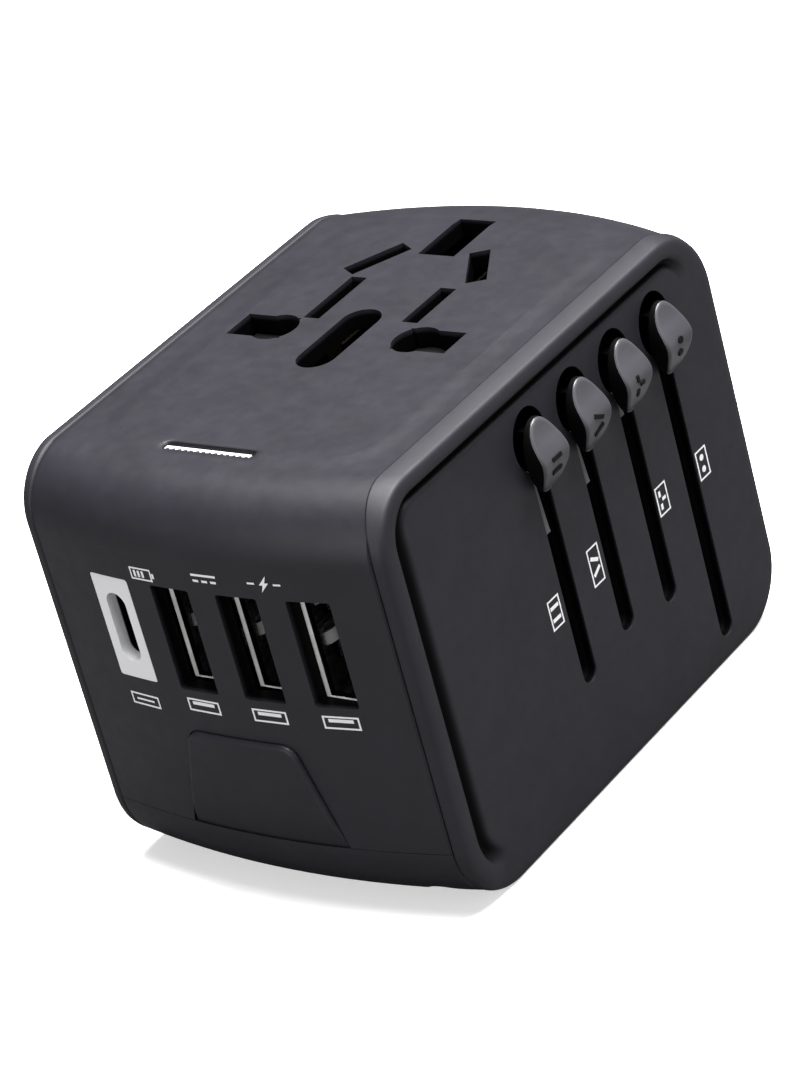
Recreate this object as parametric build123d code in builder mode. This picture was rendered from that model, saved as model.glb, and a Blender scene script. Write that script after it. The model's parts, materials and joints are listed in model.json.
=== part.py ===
from build123d import *
import os
from math import atan, degrees, sqrt

os.makedirs("parts", exist_ok=True)

# Universal travel adapter. Origin at the middle of the bottom (pin) face, +Z up to the
# socket face, -Y towards the USB front, +X towards the sliders. Millimetres.

# ---- Outside form ----
body_half_width = 24.5
body_front = -35.8
body_back = 35.8
body_top = 50.1
front_arc_radius = 108.0
back_arc_radius = 61.0
top_front_radius = 7.0
top_back_radius = 8.7
bottom_front_radius = 8.6
bottom_back_radius = 7.6
wall = 2.0
seam_x = 22.4
base_seam_z = 8.6
seam_chamfer = 0.2
seam_gap = 0.06

# ---- Socket face ----
socket_x = -1.9
socket_y = -0.8
pad_height = 0.18
pad_half_width = 19.6
pad_front = -28.2
pad_back = 26.6
pad_corner = 8.0
pad_slope = 84.5
flat_row_y = socket_y + 7.2
angled_row_y = socket_y + 16.2
earth_row_y = socket_y + 22.2
line_hole = (7.2, 4.5)
round_hole_radius = 2.75
oval_hole = (13.0, 4.8)
oval_hole_y = socket_y - 1.1
neutral_flat_hole = (2.1, 9.4)
live_flat_hole = (2.1, 7.7)
angled_hole = (2.4, 7.5)
earth_hole = (4.9, 8.6)
light_y = -25.8
light_length = 12.3
light_width = 1.3
light_foot_z = 44.6
light_foot_top_z = 45.9
light_foot_half = 2.0
light_teeth = 14
light_bar_width = 0.62
light_end_gap = 0.5
light_top_z = body_top + 0.05

# ---- USB ports ----
port_pitch = 8.8
port_first_x = -12.4
port_z = 32.8
port_window_x = 5.2
port_window_z = 12.8
round_port_window_x = 5.6
window_corner = 0.3
round_window_corner = 0.35
shell_front = -32.3
shell_thickness = 0.35
shell_inner = (5.1, 12.5)
spring_tab_z = 2.8
spring_tab_height = 1.7
spring_tab_reach = 0.45
round_shell_front = -32.2
round_shell_outer = (9.0, 3.2)
round_shell_inner = (8.4, 2.6)
round_mouth_slope = -3.5
bezel_back = -32.3
board_front = -19.6
board_thickness = 1.6
board_half_width = 19.5
board_z = (10.5, 46.0)
solder_gap = 0.02

# ---- Front tongue of the base cover ----
tongue_top_z = 21.1
tongue_top_half = 7.0
tongue_slope = 0.28
tongue_rise = 0.55
tongue_gap = 0.12

# ---- Side covers ----
rim_fillet = 0.5
rim_width = 2.2
rim_run = 0.9
rim_slope = degrees(atan(rim_run))
panel_depth = 1.0
panel_x = body_half_width - panel_depth
groove_width = 0.8
groove_depth = 0.45
rim_end_y = -26.0
rim_end_z = 45.0
rim_end_run = 4.0
lip_depth = 1.5
lip_thickness = 1.2
lip_clearance = 0.15

# ---- Sliders ----
plug_names = ["us", "aus", "uk", "eu"]
slot_first_y = -5.7
slot_pitch = 8.4
slot_ys = [slot_first_y + slot_pitch * i for i in range(4)]
slot_bottoms = [12.5, 13.9, 12.4, 2.7]
slot_width = 2.5
ledge_bottoms = [31.6, 32.8, 36.2]
ledge_top_z = 38.8
ledge_width = 0.8
ledge_top_x = 23.0
keyhole_z = 42.45
keyhole_half_width = 3.0
keyhole_half_height = 3.7
knob_z = 40.8
knob_half_width = 2.5
knob_half_height = 4.35
knob_under_x = 24.05
knob_ridge_x = 26.6
neck_width = 1.4
neck_offset = 0.45
neck_end_gap = 0.9
neck_top_z = 43.4
neck_bottoms = [39.0, 39.0, 39.0, 36.8]
neck_inner_x = 18.1
press_travel = 0.5

# ---- Carriers and pins ----
upright_inner_x = 16.8
upright_outer_x = 20.6
upright_half_width = 2.2
upright_top_z = 44.6
carrier_floor_z = 2.2
slide_travels = [high - low - neck_end_gap for high, low in zip(neck_bottoms, slot_bottoms)]
crossbar_zs = [carrier_floor_z + travel for travel in slide_travels]
crossbar_height = 3.0
pin_seat = 2.0
pin_hole_gap = 0.25
us_half_spacing = 6.35
us_blade = (1.5, 6.3)
us_length = 16.0
aus_half_spacing = 6.85
aus_blade = (1.6, 6.35)
aus_angle = 30.0
aus_length = 17.1
uk_half_spacing = 11.1
uk_pin = (6.35, 4.0)
uk_pin_y = 10.6
uk_length = 17.7
earth_pin = (4.0, 8.0)
earth_offset = 22.2
earth_pin_y = uk_pin_y - earth_offset
earth_length = 22.7
eu_half_spacing = 9.5
eu_radius = 2.4
eu_length = 19.0
sleeve_length = 10.0
sleeve_wall = 0.4
side_arm = (-20.6, -17.0)

# ---- Inside ----
tray_z = 39.4
tray_thickness = 1.4
strip_thickness = 0.6
leaf_thickness = 0.4
leaf_top_z = 45.9
shutter_z = 46.5
shutter_thickness = 1.3
screw_places = [(-17.6, -29.8), (17.6, -29.8), (-16.5, 28.9), (16.5, 28.9)]
screw_seat_z = 6.0
screw_head_radius = 2.1
screw_head_height = 1.6
screw_radius = 1.1
screw_length = 13.0
screw_slot = (2.6, 0.5)
screw_slot_depth = 0.9
boss_radius = 2.9
boss_top_z = 22.0
boss_blind_end = 2.0
transformer_x = (-13.4, -1.4)
transformer_y = (-31.0, -21.6)
transformer_z = (11.6, 24.0)
core_limb = 2.2
core_plate = 2.6
core_post_radius = 2.0
coil_radius = 3.6
coil_gap = 0.1
coil_end_gap = 0.4
capacitor_radius = 2.6
capacitor_length = 9.0
capacitor_places = [(3.2, 16.0), (9.4, 16.0)]
fuse_y = 27.2
fuse_z = 34.6
fuse_radius = 2.6
fuse_glass_radius = 2.4
fuse_x = (-12.0, 8.0)
fuse_cap = 5.4
clip_radius = 3.1
clip_length = 3.0
clip_end_gap = 1.4


def sagitta(radius, half_chord):
    """How far an arc falls back over half its chord."""
    return radius - sqrt(radius**2 - half_chord**2)


def block(x_range, y_range, z_range, mode=Mode.ADD):
    """A box between two corners, added to the part being built."""
    ranges = (x_range, y_range, z_range)
    with Locations(tuple((low + high) / 2 for low, high in ranges)):
        Box(*(high - low for low, high in ranges), mode=mode)


def body_form(inset, half_width, bottom_front=bottom_front_radius):
    """The adapter's outside form, shrunk by inset on its curved faces and cut square at its sides."""
    front = body_front + inset
    back = body_back - inset
    side_front = front + sagitta(front_arc_radius - inset, half_width)
    side_back = back - sagitta(back_arc_radius - inset, half_width)
    with BuildPart() as form:
        with BuildSketch(Plane.XY.offset(inset)):
            with BuildLine():
                ThreePointArc((-half_width, side_front), (0, front), (half_width, side_front))
                Line((half_width, side_front), (half_width, side_back))
                ThreePointArc((half_width, side_back), (0, back), (-half_width, side_back))
                Line((-half_width, side_back), (-half_width, side_front))
            make_face()
        extrude(amount=body_top - 2 * inset)
        curved = form.edges().filter_by(GeomType.CIRCLE).group_by(Axis.Z)
        top_edges = curved[-1].sort_by(Axis.Y)
        bottom_edges = curved[0].sort_by(Axis.Y)
        fillet(top_edges[0], top_front_radius - inset)
        fillet(top_edges[-1], top_back_radius - inset)
        fillet(bottom_edges[0], bottom_front - inset)
        fillet(bottom_edges[-1], bottom_back_radius - inset)
    return form.part


def socket_holes(grow=0.0):
    """Outlines of the universal socket's holes, drawn in the sketch being built."""
    with Locations((socket_x - uk_half_spacing, socket_y), (socket_x + uk_half_spacing, socket_y)):
        Rectangle(line_hole[0] + 2 * grow, line_hole[1] + 2 * grow)
    with Locations((socket_x - eu_half_spacing, socket_y), (socket_x + eu_half_spacing, socket_y)):
        Circle(round_hole_radius + grow)
    with Locations((socket_x, oval_hole_y)):
        SlotOverall(oval_hole[0] + 2 * grow, oval_hole[1] + 2 * grow, rotation=90)
    with Locations((socket_x - us_half_spacing, flat_row_y)):
        Rectangle(neutral_flat_hole[0] + 2 * grow, neutral_flat_hole[1] + 2 * grow)
    with Locations((socket_x + us_half_spacing, flat_row_y)):
        Rectangle(live_flat_hole[0] + 2 * grow, live_flat_hole[1] + 2 * grow)
    for side in (-1, 1):
        with Locations((socket_x + side * aus_half_spacing, angled_row_y)):
            Rectangle(angled_hole[0] + 2 * grow, angled_hole[1] + 2 * grow, rotation=side * aus_angle)
    with Locations((socket_x, earth_row_y)):
        Rectangle(earth_hole[0] + 2 * grow, earth_hole[1] + 2 * grow)


def us_outlines(grow=0.0):
    with Locations((socket_x - us_half_spacing, slot_ys[0]), (socket_x + us_half_spacing, slot_ys[0])):
        Rectangle(us_blade[0] + 2 * grow, us_blade[1] + 2 * grow)


def aus_outlines(grow=0.0):
    for side in (-1, 1):
        with Locations((socket_x + side * aus_half_spacing, slot_ys[1])):
            Rectangle(aus_blade[0] + 2 * grow, aus_blade[1] + 2 * grow, rotation=side * aus_angle)


def uk_outlines(grow=0.0):
    with Locations((socket_x - uk_half_spacing, uk_pin_y), (socket_x + uk_half_spacing, uk_pin_y)):
        Rectangle(uk_pin[0] + 2 * grow, uk_pin[1] + 2 * grow)


def earth_outline(grow=0.0):
    with Locations((socket_x, earth_pin_y)):
        Rectangle(earth_pin[0] + 2 * grow, earth_pin[1] + 2 * grow)


def eu_outlines(grow=0.0):
    with Locations((socket_x - eu_half_spacing, slot_ys[3]), (socket_x + eu_half_spacing, slot_ys[3])):
        Circle(eu_radius + grow)


# ---- Main housing: front, top and back in one shell ----
with BuildPart() as main_housing:
    add(body_form(0, seam_x))
    chamfer(main_housing.faces().filter_by(Axis.X).edges(), seam_chamfer)
    split(bisect_by=Plane.XY.offset(base_seam_z), keep=Keep.TOP)
    # raised, softly sloped middle of the socket face
    with BuildSketch(Plane.XY.offset(body_top - 0.05)):
        with BuildLine():
            pad_side_front = pad_front + sagitta(front_arc_radius, pad_half_width)
            pad_side_back = pad_back - sagitta(back_arc_radius, pad_half_width)
            ThreePointArc(
                (-pad_half_width, pad_side_front), (0, pad_front), (pad_half_width, pad_side_front)
            )
            Line((pad_half_width, pad_side_front), (pad_half_width, pad_side_back))
            ThreePointArc((pad_half_width, pad_side_back), (0, pad_back), (-pad_half_width, pad_side_back))
            Line((-pad_half_width, pad_side_back), (-pad_half_width, pad_side_front))
        pad_face = make_face()
        fillet(pad_face.vertices(), pad_corner)
    extrude(amount=pad_height + 0.05, taper=pad_slope)
    add(body_form(wall, seam_x), mode=Mode.SUBTRACT)
    # socket holes, and the slit over the light pipe
    with BuildSketch(Plane.XY.offset(body_top + pad_height)):
        socket_holes()
        with Locations((socket_x, light_y)):
            SlotOverall(light_length, light_width)
    extrude(amount=-(wall + pad_height + 1), mode=Mode.SUBTRACT)
    # USB windows and the opening for the base cover's tongue
    with BuildSketch(Plane.XZ.offset(-body_front + 1)):
        with Locations((port_first_x, port_z)):
            RectangleRounded(round_port_window_x, port_window_z, round_window_corner)
        with Locations([(port_first_x + port_pitch * i, port_z) for i in (1, 2, 3)]):
            RectangleRounded(port_window_x, port_window_z, window_corner)
        with BuildLine():
            tongue_foot_half = tongue_top_half + tongue_slope * (tongue_top_z - base_seam_z + 1)
            Polyline(
                (-tongue_foot_half - tongue_gap, base_seam_z - 1),
                (-tongue_top_half - tongue_gap, tongue_top_z + tongue_gap),
                (tongue_top_half + tongue_gap, tongue_top_z + tongue_gap),
                (tongue_foot_half + tongue_gap, base_seam_z - 1),
                close=True,
            )
        opening = make_face()
        fillet(opening.vertices().sort_by(Axis.Y)[-2:], 2.0 + tongue_gap)
    extrude(amount=-(wall + 3), mode=Mode.SUBTRACT)
    # screw bosses on the inside of the front and back walls
    with BuildSketch(Plane.XY.offset(base_seam_z)):
        with Locations(screw_places):
            Circle(boss_radius)
    extrude(amount=boss_top_z - base_seam_z)
    with BuildSketch(Plane.XY.offset(base_seam_z)):
        with Locations(screw_places):
            Circle(screw_radius + 0.05)
    extrude(amount=boss_top_z - base_seam_z - boss_blind_end, mode=Mode.SUBTRACT)
main_housing.part.label = "main_housing"
export_step(main_housing.part, "parts/main_housing.step")

# ---- Base cover: bottom wall with the pin holes, and the front tongue ----
with BuildPart() as base_cover:
    add(body_form(0, seam_x))
    chamfer(base_cover.faces().filter_by(Axis.X).edges(), seam_chamfer)
    split(bisect_by=Plane.XY.offset(base_seam_z - seam_gap), keep=Keep.BOTTOM)
    add(body_form(wall, seam_x), mode=Mode.SUBTRACT)
    with BuildSketch(Plane.XY):
        with Locations(screw_places):
            Circle(boss_radius)
    extrude(amount=base_seam_z - seam_gap)
    add(body_form(0, seam_x), mode=Mode.INTERSECT)
    # counterbored screw holes, and one hole for each pin
    with BuildSketch(Plane.XY):
        with Locations(screw_places):
            Circle(screw_radius + 0.2)
        us_outlines(pin_hole_gap)
        aus_outlines(pin_hole_gap)
        uk_outlines(pin_hole_gap)
        earth_outline(pin_hole_gap)
        eu_outlines(pin_hole_gap)
    extrude(amount=base_seam_z, mode=Mode.SUBTRACT)
    with BuildSketch(Plane.XY):
        with Locations(screw_places):
            Circle(screw_head_radius + 0.15)
    extrude(amount=screw_seat_z, mode=Mode.SUBTRACT)

with BuildPart() as tongue_form:
    add(body_form(-tongue_rise, seam_x, bottom_front=13.0))
    with BuildSketch(Plane.XZ.offset(-body_front + 1)):
        with BuildLine():
            low_z = 3.0
            low_half = tongue_top_half + tongue_slope * (tongue_top_z - low_z)
            Polyline(
                (-low_half, low_z),
                (-tongue_top_half, tongue_top_z),
                (tongue_top_half, tongue_top_z),
                (low_half, low_z),
                close=True,
            )
        tongue_face = make_face()
        fillet(tongue_face.vertices().sort_by(Axis.Y)[-2:], 2.0)
    extrude(amount=-8, mode=Mode.INTERSECT)
    add(body_form(wall, seam_x), mode=Mode.SUBTRACT)
    front_face = tongue_form.faces().sort_by(Axis.Y)[0]
    fillet(front_face.edges().filter_by_position(Axis.Z, low_z + 1, tongue_top_z + 1), 0.45)

with BuildPart() as base_cover_with_tongue:
    add(base_cover.part)
    add(tongue_form.part)
base_cover_with_tongue.part.label = "base_cover"
export_step(base_cover_with_tongue.part, "parts/base_cover.step")


# ---- Side covers ----
def panel_outline(inset):
    """Side outline of the body, shrunk by inset."""
    front = body_front + sagitta(front_arc_radius, body_half_width) + inset
    back = body_back - sagitta(back_arc_radius, body_half_width) - inset
    low = inset
    high = body_top - inset
    with BuildSketch() as outline:
        with BuildLine():
            Polyline((front, low), (front, high), (back, high), (back, low), close=True)
        make_face()
        corners = outline.vertices().group_by(Axis.X)
        fillet(corners[0].sort_by(Axis.Y)[0], bottom_front_radius - inset)
        corners = outline.vertices().group_by(Axis.Y)
        fillet(corners[-1].sort_by(Axis.X)[0], top_front_radius - inset)
        fillet(outline.vertices().group_by(Axis.Y)[-1].sort_by(Axis.X)[-1], top_back_radius - inset)
        fillet(outline.vertices().group_by(Axis.Y)[0].sort_by(Axis.X)[-1], bottom_back_radius - inset)
    return outline.sketch


def side_cover():
    """Cover for the +X side: raised rim, groove, sunken panel, and a lip that enters the housing."""
    rim_inset = rim_width + panel_depth * rim_run
    side_back = body_back - sagitta(back_arc_radius, body_half_width)
    with BuildPart() as cover:
        add(body_form(0, body_half_width))
        split(bisect_by=Plane.YZ.offset(seam_x + seam_gap), keep=Keep.TOP)
        fillet(cover.faces().sort_by(Axis.X)[-1].edges(), rim_fillet)
        chamfer(cover.faces().sort_by(Axis.X)[0].edges(), seam_chamfer)
        # sunken panel behind a sloped rim
        with BuildSketch(Plane.YZ.offset(body_half_width)):
            add(panel_outline(rim_width))
        extrude(amount=-panel_depth, taper=rim_slope, mode=Mode.SUBTRACT)
        # the rim ends beyond the bottom front corner and beyond the top back corner
        with BuildSketch(Plane.XY.offset(-1)):
            with BuildLine():
                Polyline(
                    (panel_x, rim_end_y),
                    (body_half_width + 0.1, rim_end_y - rim_end_run),
                    (body_half_width + 2, rim_end_y - rim_end_run),
                    (body_half_width + 2, body_back),
                    (panel_x, body_back),
                    close=True,
                )
            make_face()
        extrude(amount=1 + rim_inset, mode=Mode.SUBTRACT)
        with BuildSketch(Plane.XZ.offset(rim_inset - side_back)):
            with BuildLine():
                Polyline(
                    (panel_x, rim_end_z),
                    (body_half_width + 0.1, rim_end_z + rim_end_run),
                    (body_half_width + 2, rim_end_z + rim_end_run),
                    (body_half_width + 2, -1),
                    (panel_x, -1),
                    close=True,
                )
            make_face()
        extrude(amount=-(rim_inset + 2), mode=Mode.SUBTRACT)
    with BuildPart() as groove:
        with BuildSketch(Plane.YZ.offset(panel_x - groove_depth)):
            add(panel_outline(rim_inset))
        extrude(amount=groove_depth + 0.2)
        with BuildSketch(Plane.YZ.offset(panel_x - groove_depth)):
            add(panel_outline(rim_inset + groove_width))
        extrude(amount=groove_depth + 0.2, mode=Mode.SUBTRACT)
        block((seam_x, body_half_width), (rim_end_y, body_back), (0, rim_end_z), mode=Mode.SUBTRACT)
    with BuildPart() as lip:
        add(body_form(wall + lip_clearance, seam_x + 0.2))
        add(body_form(wall + lip_clearance + lip_thickness, seam_x + 0.2), mode=Mode.SUBTRACT)
        split(bisect_by=Plane.YZ.offset(seam_x - lip_depth), keep=Keep.TOP)
    with BuildPart() as whole:
        add(cover.part)
        add(groove.part, mode=Mode.SUBTRACT)
        add(lip.part)
    return whole.part


with BuildPart() as plain_side_cover:
    add(side_cover())
    mirror(about=Plane.YZ, mode=Mode.REPLACE)
plain_side_cover.part.label = "plain_side_cover"
export_step(plain_side_cover.part, "parts/plain_side_cover.step")

with BuildPart() as slider_side_cover:
    add(side_cover())
    # keyholes, and slots that also pass through the lip
    with BuildSketch(Plane.YZ.offset(body_half_width)):
        with Locations([(y, keyhole_z) for y in slot_ys]):
            Ellipse(keyhole_half_width, keyhole_half_height)
        for y, bottom in zip(slot_ys, slot_bottoms):
            with Locations((y, (bottom + keyhole_z) / 2)):
                SlotOverall(keyhole_z - bottom, slot_width, rotation=90)
    extrude(amount=-(body_half_width - seam_x + lip_depth + 0.1), mode=Mode.SUBTRACT)
    # ledge along one side of the first three slots, sloping up to the panel's surface at its lower end
    for y, bottom in zip(slot_ys, ledge_bottoms):
        with BuildSketch(Plane.XZ.offset(slot_width / 2 + 0.05 - y)):
            with BuildLine():
                Polyline(
                    (seam_x + seam_gap, ledge_top_z),
                    (ledge_top_x, ledge_top_z),
                    (panel_x - 0.05, bottom),
                    (seam_x + seam_gap, bottom),
                    close=True,
                )
            make_face()
        extrude(amount=-(ledge_width + 0.05))
slider_side_cover.part.label = "slider_side_cover"
export_step(slider_side_cover.part, "parts/slider_side_cover.step")


# ---- Knobs, one for each plug ----
def knob(slot_y, neck_bottom):
    """Thumb knob: a hollowed face that rises to a ridge, a thin tail, and a neck through the slot."""
    with BuildPart() as thumb:
        with BuildSketch(Plane.YZ.offset(knob_under_x)):
            with Locations((slot_y, knob_z)):
                Ellipse(knob_half_width, knob_half_height)
        extrude(amount=4)
        # side profile of the thumb face, from the tail over the ridge to the top end
        bottom = knob_z - knob_half_height - 0.05
        top = knob_z + knob_half_height + 0.05
        with BuildSketch(Plane.XZ.offset(-slot_y)):
            with BuildLine():
                Spline(
                    (knob_ridge_x - 2.15, bottom),
                    (knob_ridge_x - 1.0, knob_z - 2.9),
                    (knob_ridge_x - 0.4, knob_z - 1.45),
                    (knob_ridge_x, knob_z),
                    (knob_ridge_x - 0.7, knob_z + 1.5),
                    (knob_ridge_x - 1.25, knob_z + 2.9),
                    (knob_ridge_x - 1.5, top),
                )
                Polyline(
                    (knob_ridge_x - 1.5, top),
                    (knob_under_x - 0.1, top),
                    (knob_under_x - 0.1, bottom),
                    (knob_ridge_x - 2.15, bottom),
                )
            make_face()
        extrude(amount=knob_half_width + 1, both=True, mode=Mode.INTERSECT)
        neck_y = slot_y + neck_offset
        block(
            (neck_inner_x, knob_under_x),
            (neck_y - neck_width / 2, neck_y + neck_width / 2),
            (neck_bottom, neck_top_z),
        )
    return thumb.part


def knob_spring(slot_y, neck_bottom):
    """Bowed leaf spring at the bottom of the knob's pocket."""
    low = neck_bottom + 0.3
    high = neck_top_z - 0.3
    pocket_x = neck_inner_x - press_travel - 0.5
    bow = 0.35
    strip = 0.12
    leaf_width = neck_width - 0.1
    middle = (low + high) / 2
    with BuildPart() as spring:
        with BuildSketch(Plane.XZ.offset(leaf_width / 2 - slot_y - neck_offset)):
            with BuildLine():
                ThreePointArc((pocket_x, low), (pocket_x + bow - strip, middle), (pocket_x, high))
                Line((pocket_x, high), (pocket_x + strip, high))
                ThreePointArc((pocket_x + strip, high), (pocket_x + bow, middle), (pocket_x + strip, low))
                Line((pocket_x + strip, low), (pocket_x, low))
            make_face()
        extrude(amount=-leaf_width)
    return spring.part


# ---- Carriers ----
def upright(slot_y, crossbar_z):
    """Upright of a carrier beside its slot, added to the part being built."""
    block(
        (upright_inner_x, upright_outer_x),
        (slot_y - upright_half_width, slot_y + upright_half_width),
        (crossbar_z, upright_top_z),
    )


def neck_pocket(slot_y, neck_bottom):
    """Pocket for the knob's neck, cut from the part being built."""
    neck_y = slot_y + neck_offset
    block(
        (neck_inner_x - press_travel - 0.5, upright_outer_x),
        (neck_y - neck_width / 2 - 0.08, neck_y + neck_width / 2 + 0.08),
        (neck_bottom - 0.08, neck_top_z + 0.08),
        mode=Mode.SUBTRACT,
    )


with BuildPart() as us_carrier:
    upright(slot_ys[0], crossbar_zs[0])
    block(
        (socket_x - us_half_spacing - 1.8, upright_outer_x),
        (slot_ys[0] - 1.6, slot_ys[0] + 1.6),
        (crossbar_zs[0], crossbar_zs[0] + crossbar_height),
    )
    with BuildSketch(Plane.XY.offset(crossbar_zs[0])):
        with Locations(
            (socket_x - us_half_spacing, slot_ys[0]), (socket_x + us_half_spacing, slot_ys[0])
        ):
            Rectangle(us_blade[0] + 2.4, 4.2)
    extrude(amount=crossbar_height)
    with BuildSketch(Plane.XY.offset(crossbar_zs[0])):
        us_outlines(0.02)
    extrude(amount=pin_seat, mode=Mode.SUBTRACT)
    neck_pocket(slot_ys[0], neck_bottoms[0])

with BuildPart() as aus_carrier:
    upright(slot_ys[1], crossbar_zs[1])
    block(
        (socket_x - aus_half_spacing - 2.8, upright_outer_x),
        (slot_ys[1] - 2.0, slot_ys[1] + 2.0),
        (crossbar_zs[1], crossbar_zs[1] + crossbar_height),
    )
    with BuildSketch(Plane.XY.offset(crossbar_zs[1])):
        aus_outlines(0.02)
    extrude(amount=pin_seat, mode=Mode.SUBTRACT)
    neck_pocket(slot_ys[1], neck_bottoms[1])

with BuildPart() as uk_carrier:
    uk_top = crossbar_zs[2] + crossbar_height
    upright(slot_ys[2], crossbar_zs[2])
    block((side_arm[0], upright_outer_x), (uk_pin_y - 2.4, uk_pin_y + 2.4), (crossbar_zs[2], uk_top))
    # arm round the other carriers to the earth pin
    block(side_arm, (earth_pin_y - 2.6, uk_pin_y + 2.4), (crossbar_zs[2], uk_top))
    block(
        (side_arm[0], socket_x + 3.2),
        (earth_pin_y - 2.6, earth_pin_y + 2.4),
        (crossbar_zs[2], uk_top),
    )
    with BuildSketch(Plane.XY.offset(crossbar_zs[2])):
        uk_outlines(0.02)
        earth_outline(0.02)
    extrude(amount=pin_seat, mode=Mode.SUBTRACT)
    neck_pocket(slot_ys[2], neck_bottoms[2])

with BuildPart() as eu_carrier:
    upright(slot_ys[3], crossbar_zs[3])
    block(
        (socket_x - eu_half_spacing - 3.6, upright_outer_x),
        (slot_ys[3] - 2.2, slot_ys[3] + 2.2),
        (crossbar_zs[3], crossbar_zs[3] + crossbar_height),
    )
    with BuildSketch(Plane.XY.offset(crossbar_zs[3])):
        with Locations(
            (socket_x - eu_half_spacing, slot_ys[3]), (socket_x + eu_half_spacing, slot_ys[3])
        ):
            Circle(eu_radius + 1.0)
    extrude(amount=crossbar_height)
    with BuildSketch(Plane.XY.offset(crossbar_zs[3])):
        eu_outlines(0.02)
    extrude(amount=pin_seat, mode=Mode.SUBTRACT)
    neck_pocket(slot_ys[3], neck_bottoms[3])

for name, carrier, y, neck_bottom in zip(
    plug_names, (us_carrier, aus_carrier, uk_carrier, eu_carrier), slot_ys, neck_bottoms
):
    carrier.part.label = f"{name}_carrier"
    export_step(carrier.part, f"parts/{name}_carrier.step")
    thumb_knob = knob(y, neck_bottom)
    thumb_knob.label = f"{name}_knob"
    export_step(thumb_knob, f"parts/{name}_knob.step")
    leaf = knob_spring(y, neck_bottom)
    leaf.label = f"{name}_knob_spring"
    export_step(leaf, f"parts/{name}_knob_spring.step")

# ---- Plug pins ----
with BuildPart() as us_blades:
    us_tip = crossbar_zs[0] - carrier_floor_z - us_length
    with BuildSketch(Plane.XY.offset(us_tip)):
        us_outlines()
    extrude(amount=crossbar_zs[0] + pin_seat - us_tip)
    tips = us_blades.edges().group_by(Axis.Z)[0]
    chamfer(tips.filter_by(Axis.X), 1.2)
    chamfer(us_blades.edges().group_by(Axis.Z)[0].filter_by(Axis.Y), 0.4)
us_blades.part.label = "us_blades"
export_step(us_blades.part, "parts/us_blades.step")

with BuildPart() as aus_blades:
    aus_tip = crossbar_zs[1] - carrier_floor_z - aus_length
    with BuildSketch(Plane.XY.offset(aus_tip)):
        aus_outlines()
    extrude(amount=crossbar_zs[1] + pin_seat - aus_tip)
    chamfer(aus_blades.edges().group_by(Axis.Z)[0], 0.45)
aus_blades.part.label = "aus_blades"
export_step(aus_blades.part, "parts/aus_blades.step")

with BuildPart() as uk_pins:
    uk_tip = crossbar_zs[2] - carrier_floor_z - uk_length
    with BuildSketch(Plane.XY.offset(uk_tip)):
        uk_outlines()
    extrude(amount=crossbar_zs[2] + pin_seat - uk_tip)
    chamfer(uk_pins.edges().group_by(Axis.Z)[0], 0.9)
    # waist for the insulating sleeve
    with BuildSketch(Plane.XY.offset(crossbar_zs[2] - sleeve_length)) as uk_waist:
        uk_outlines(0.5)
        with Locations(
            (socket_x - uk_half_spacing, uk_pin_y), (socket_x + uk_half_spacing, uk_pin_y)
        ):
            Rectangle(uk_pin[0] - 2 * sleeve_wall, uk_pin[1] - 2 * sleeve_wall, mode=Mode.SUBTRACT)
    extrude(uk_waist.sketch, amount=sleeve_length, mode=Mode.SUBTRACT)
uk_pins.part.label = "uk_pins"
export_step(uk_pins.part, "parts/uk_pins.step")

with BuildPart() as uk_earth_pin:
    earth_tip = crossbar_zs[2] - carrier_floor_z - earth_length
    with BuildSketch(Plane.XY.offset(earth_tip)):
        earth_outline()
    extrude(amount=crossbar_zs[2] + pin_seat - earth_tip)
    chamfer(uk_earth_pin.edges().group_by(Axis.Z)[0], 0.9)
uk_earth_pin.part.label = "uk_earth_pin"
export_step(uk_earth_pin.part, "parts/uk_earth_pin.step")

with BuildPart() as eu_pins:
    eu_tip = crossbar_zs[3] - carrier_floor_z - eu_length
    with BuildSketch(Plane.XY.offset(eu_tip)):
        eu_outlines()
    extrude(amount=crossbar_zs[3] + pin_seat - eu_tip)
    fillet(eu_pins.edges().group_by(Axis.Z)[0], 1.6)
    with BuildSketch(Plane.XY.offset(crossbar_zs[3] - sleeve_length)) as eu_waist:
        eu_outlines(0.5)
        with Locations(
            (socket_x - eu_half_spacing, slot_ys[3]), (socket_x + eu_half_spacing, slot_ys[3])
        ):
            Circle(eu_radius - sleeve_wall, mode=Mode.SUBTRACT)
    extrude(eu_waist.sketch, amount=sleeve_length, mode=Mode.SUBTRACT)
eu_pins.part.label = "eu_pins"
export_step(eu_pins.part, "parts/eu_pins.step")

with BuildPart() as uk_sleeves:
    with BuildSketch(Plane.XY.offset(crossbar_zs[2] - sleeve_length + 0.02)):
        uk_outlines()
        with Locations(
            (socket_x - uk_half_spacing, uk_pin_y), (socket_x + uk_half_spacing, uk_pin_y)
        ):
            Rectangle(
                uk_pin[0] - 2 * sleeve_wall + 0.04, uk_pin[1] - 2 * sleeve_wall + 0.04, mode=Mode.SUBTRACT
            )
    extrude(amount=sleeve_length - 0.04)
uk_sleeves.part.label = "uk_sleeves"
export_step(uk_sleeves.part, "parts/uk_sleeves.step")

with BuildPart() as eu_sleeves:
    with BuildSketch(Plane.XY.offset(crossbar_zs[3] - sleeve_length + 0.02)):
        eu_outlines()
        with Locations(
            (socket_x - eu_half_spacing, slot_ys[3]), (socket_x + eu_half_spacing, slot_ys[3])
        ):
            Circle(eu_radius - sleeve_wall + 0.02, mode=Mode.SUBTRACT)
    extrude(amount=sleeve_length - 0.04)
eu_sleeves.part.label = "eu_sleeves"
export_step(eu_sleeves.part, "parts/eu_sleeves.step")

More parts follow.
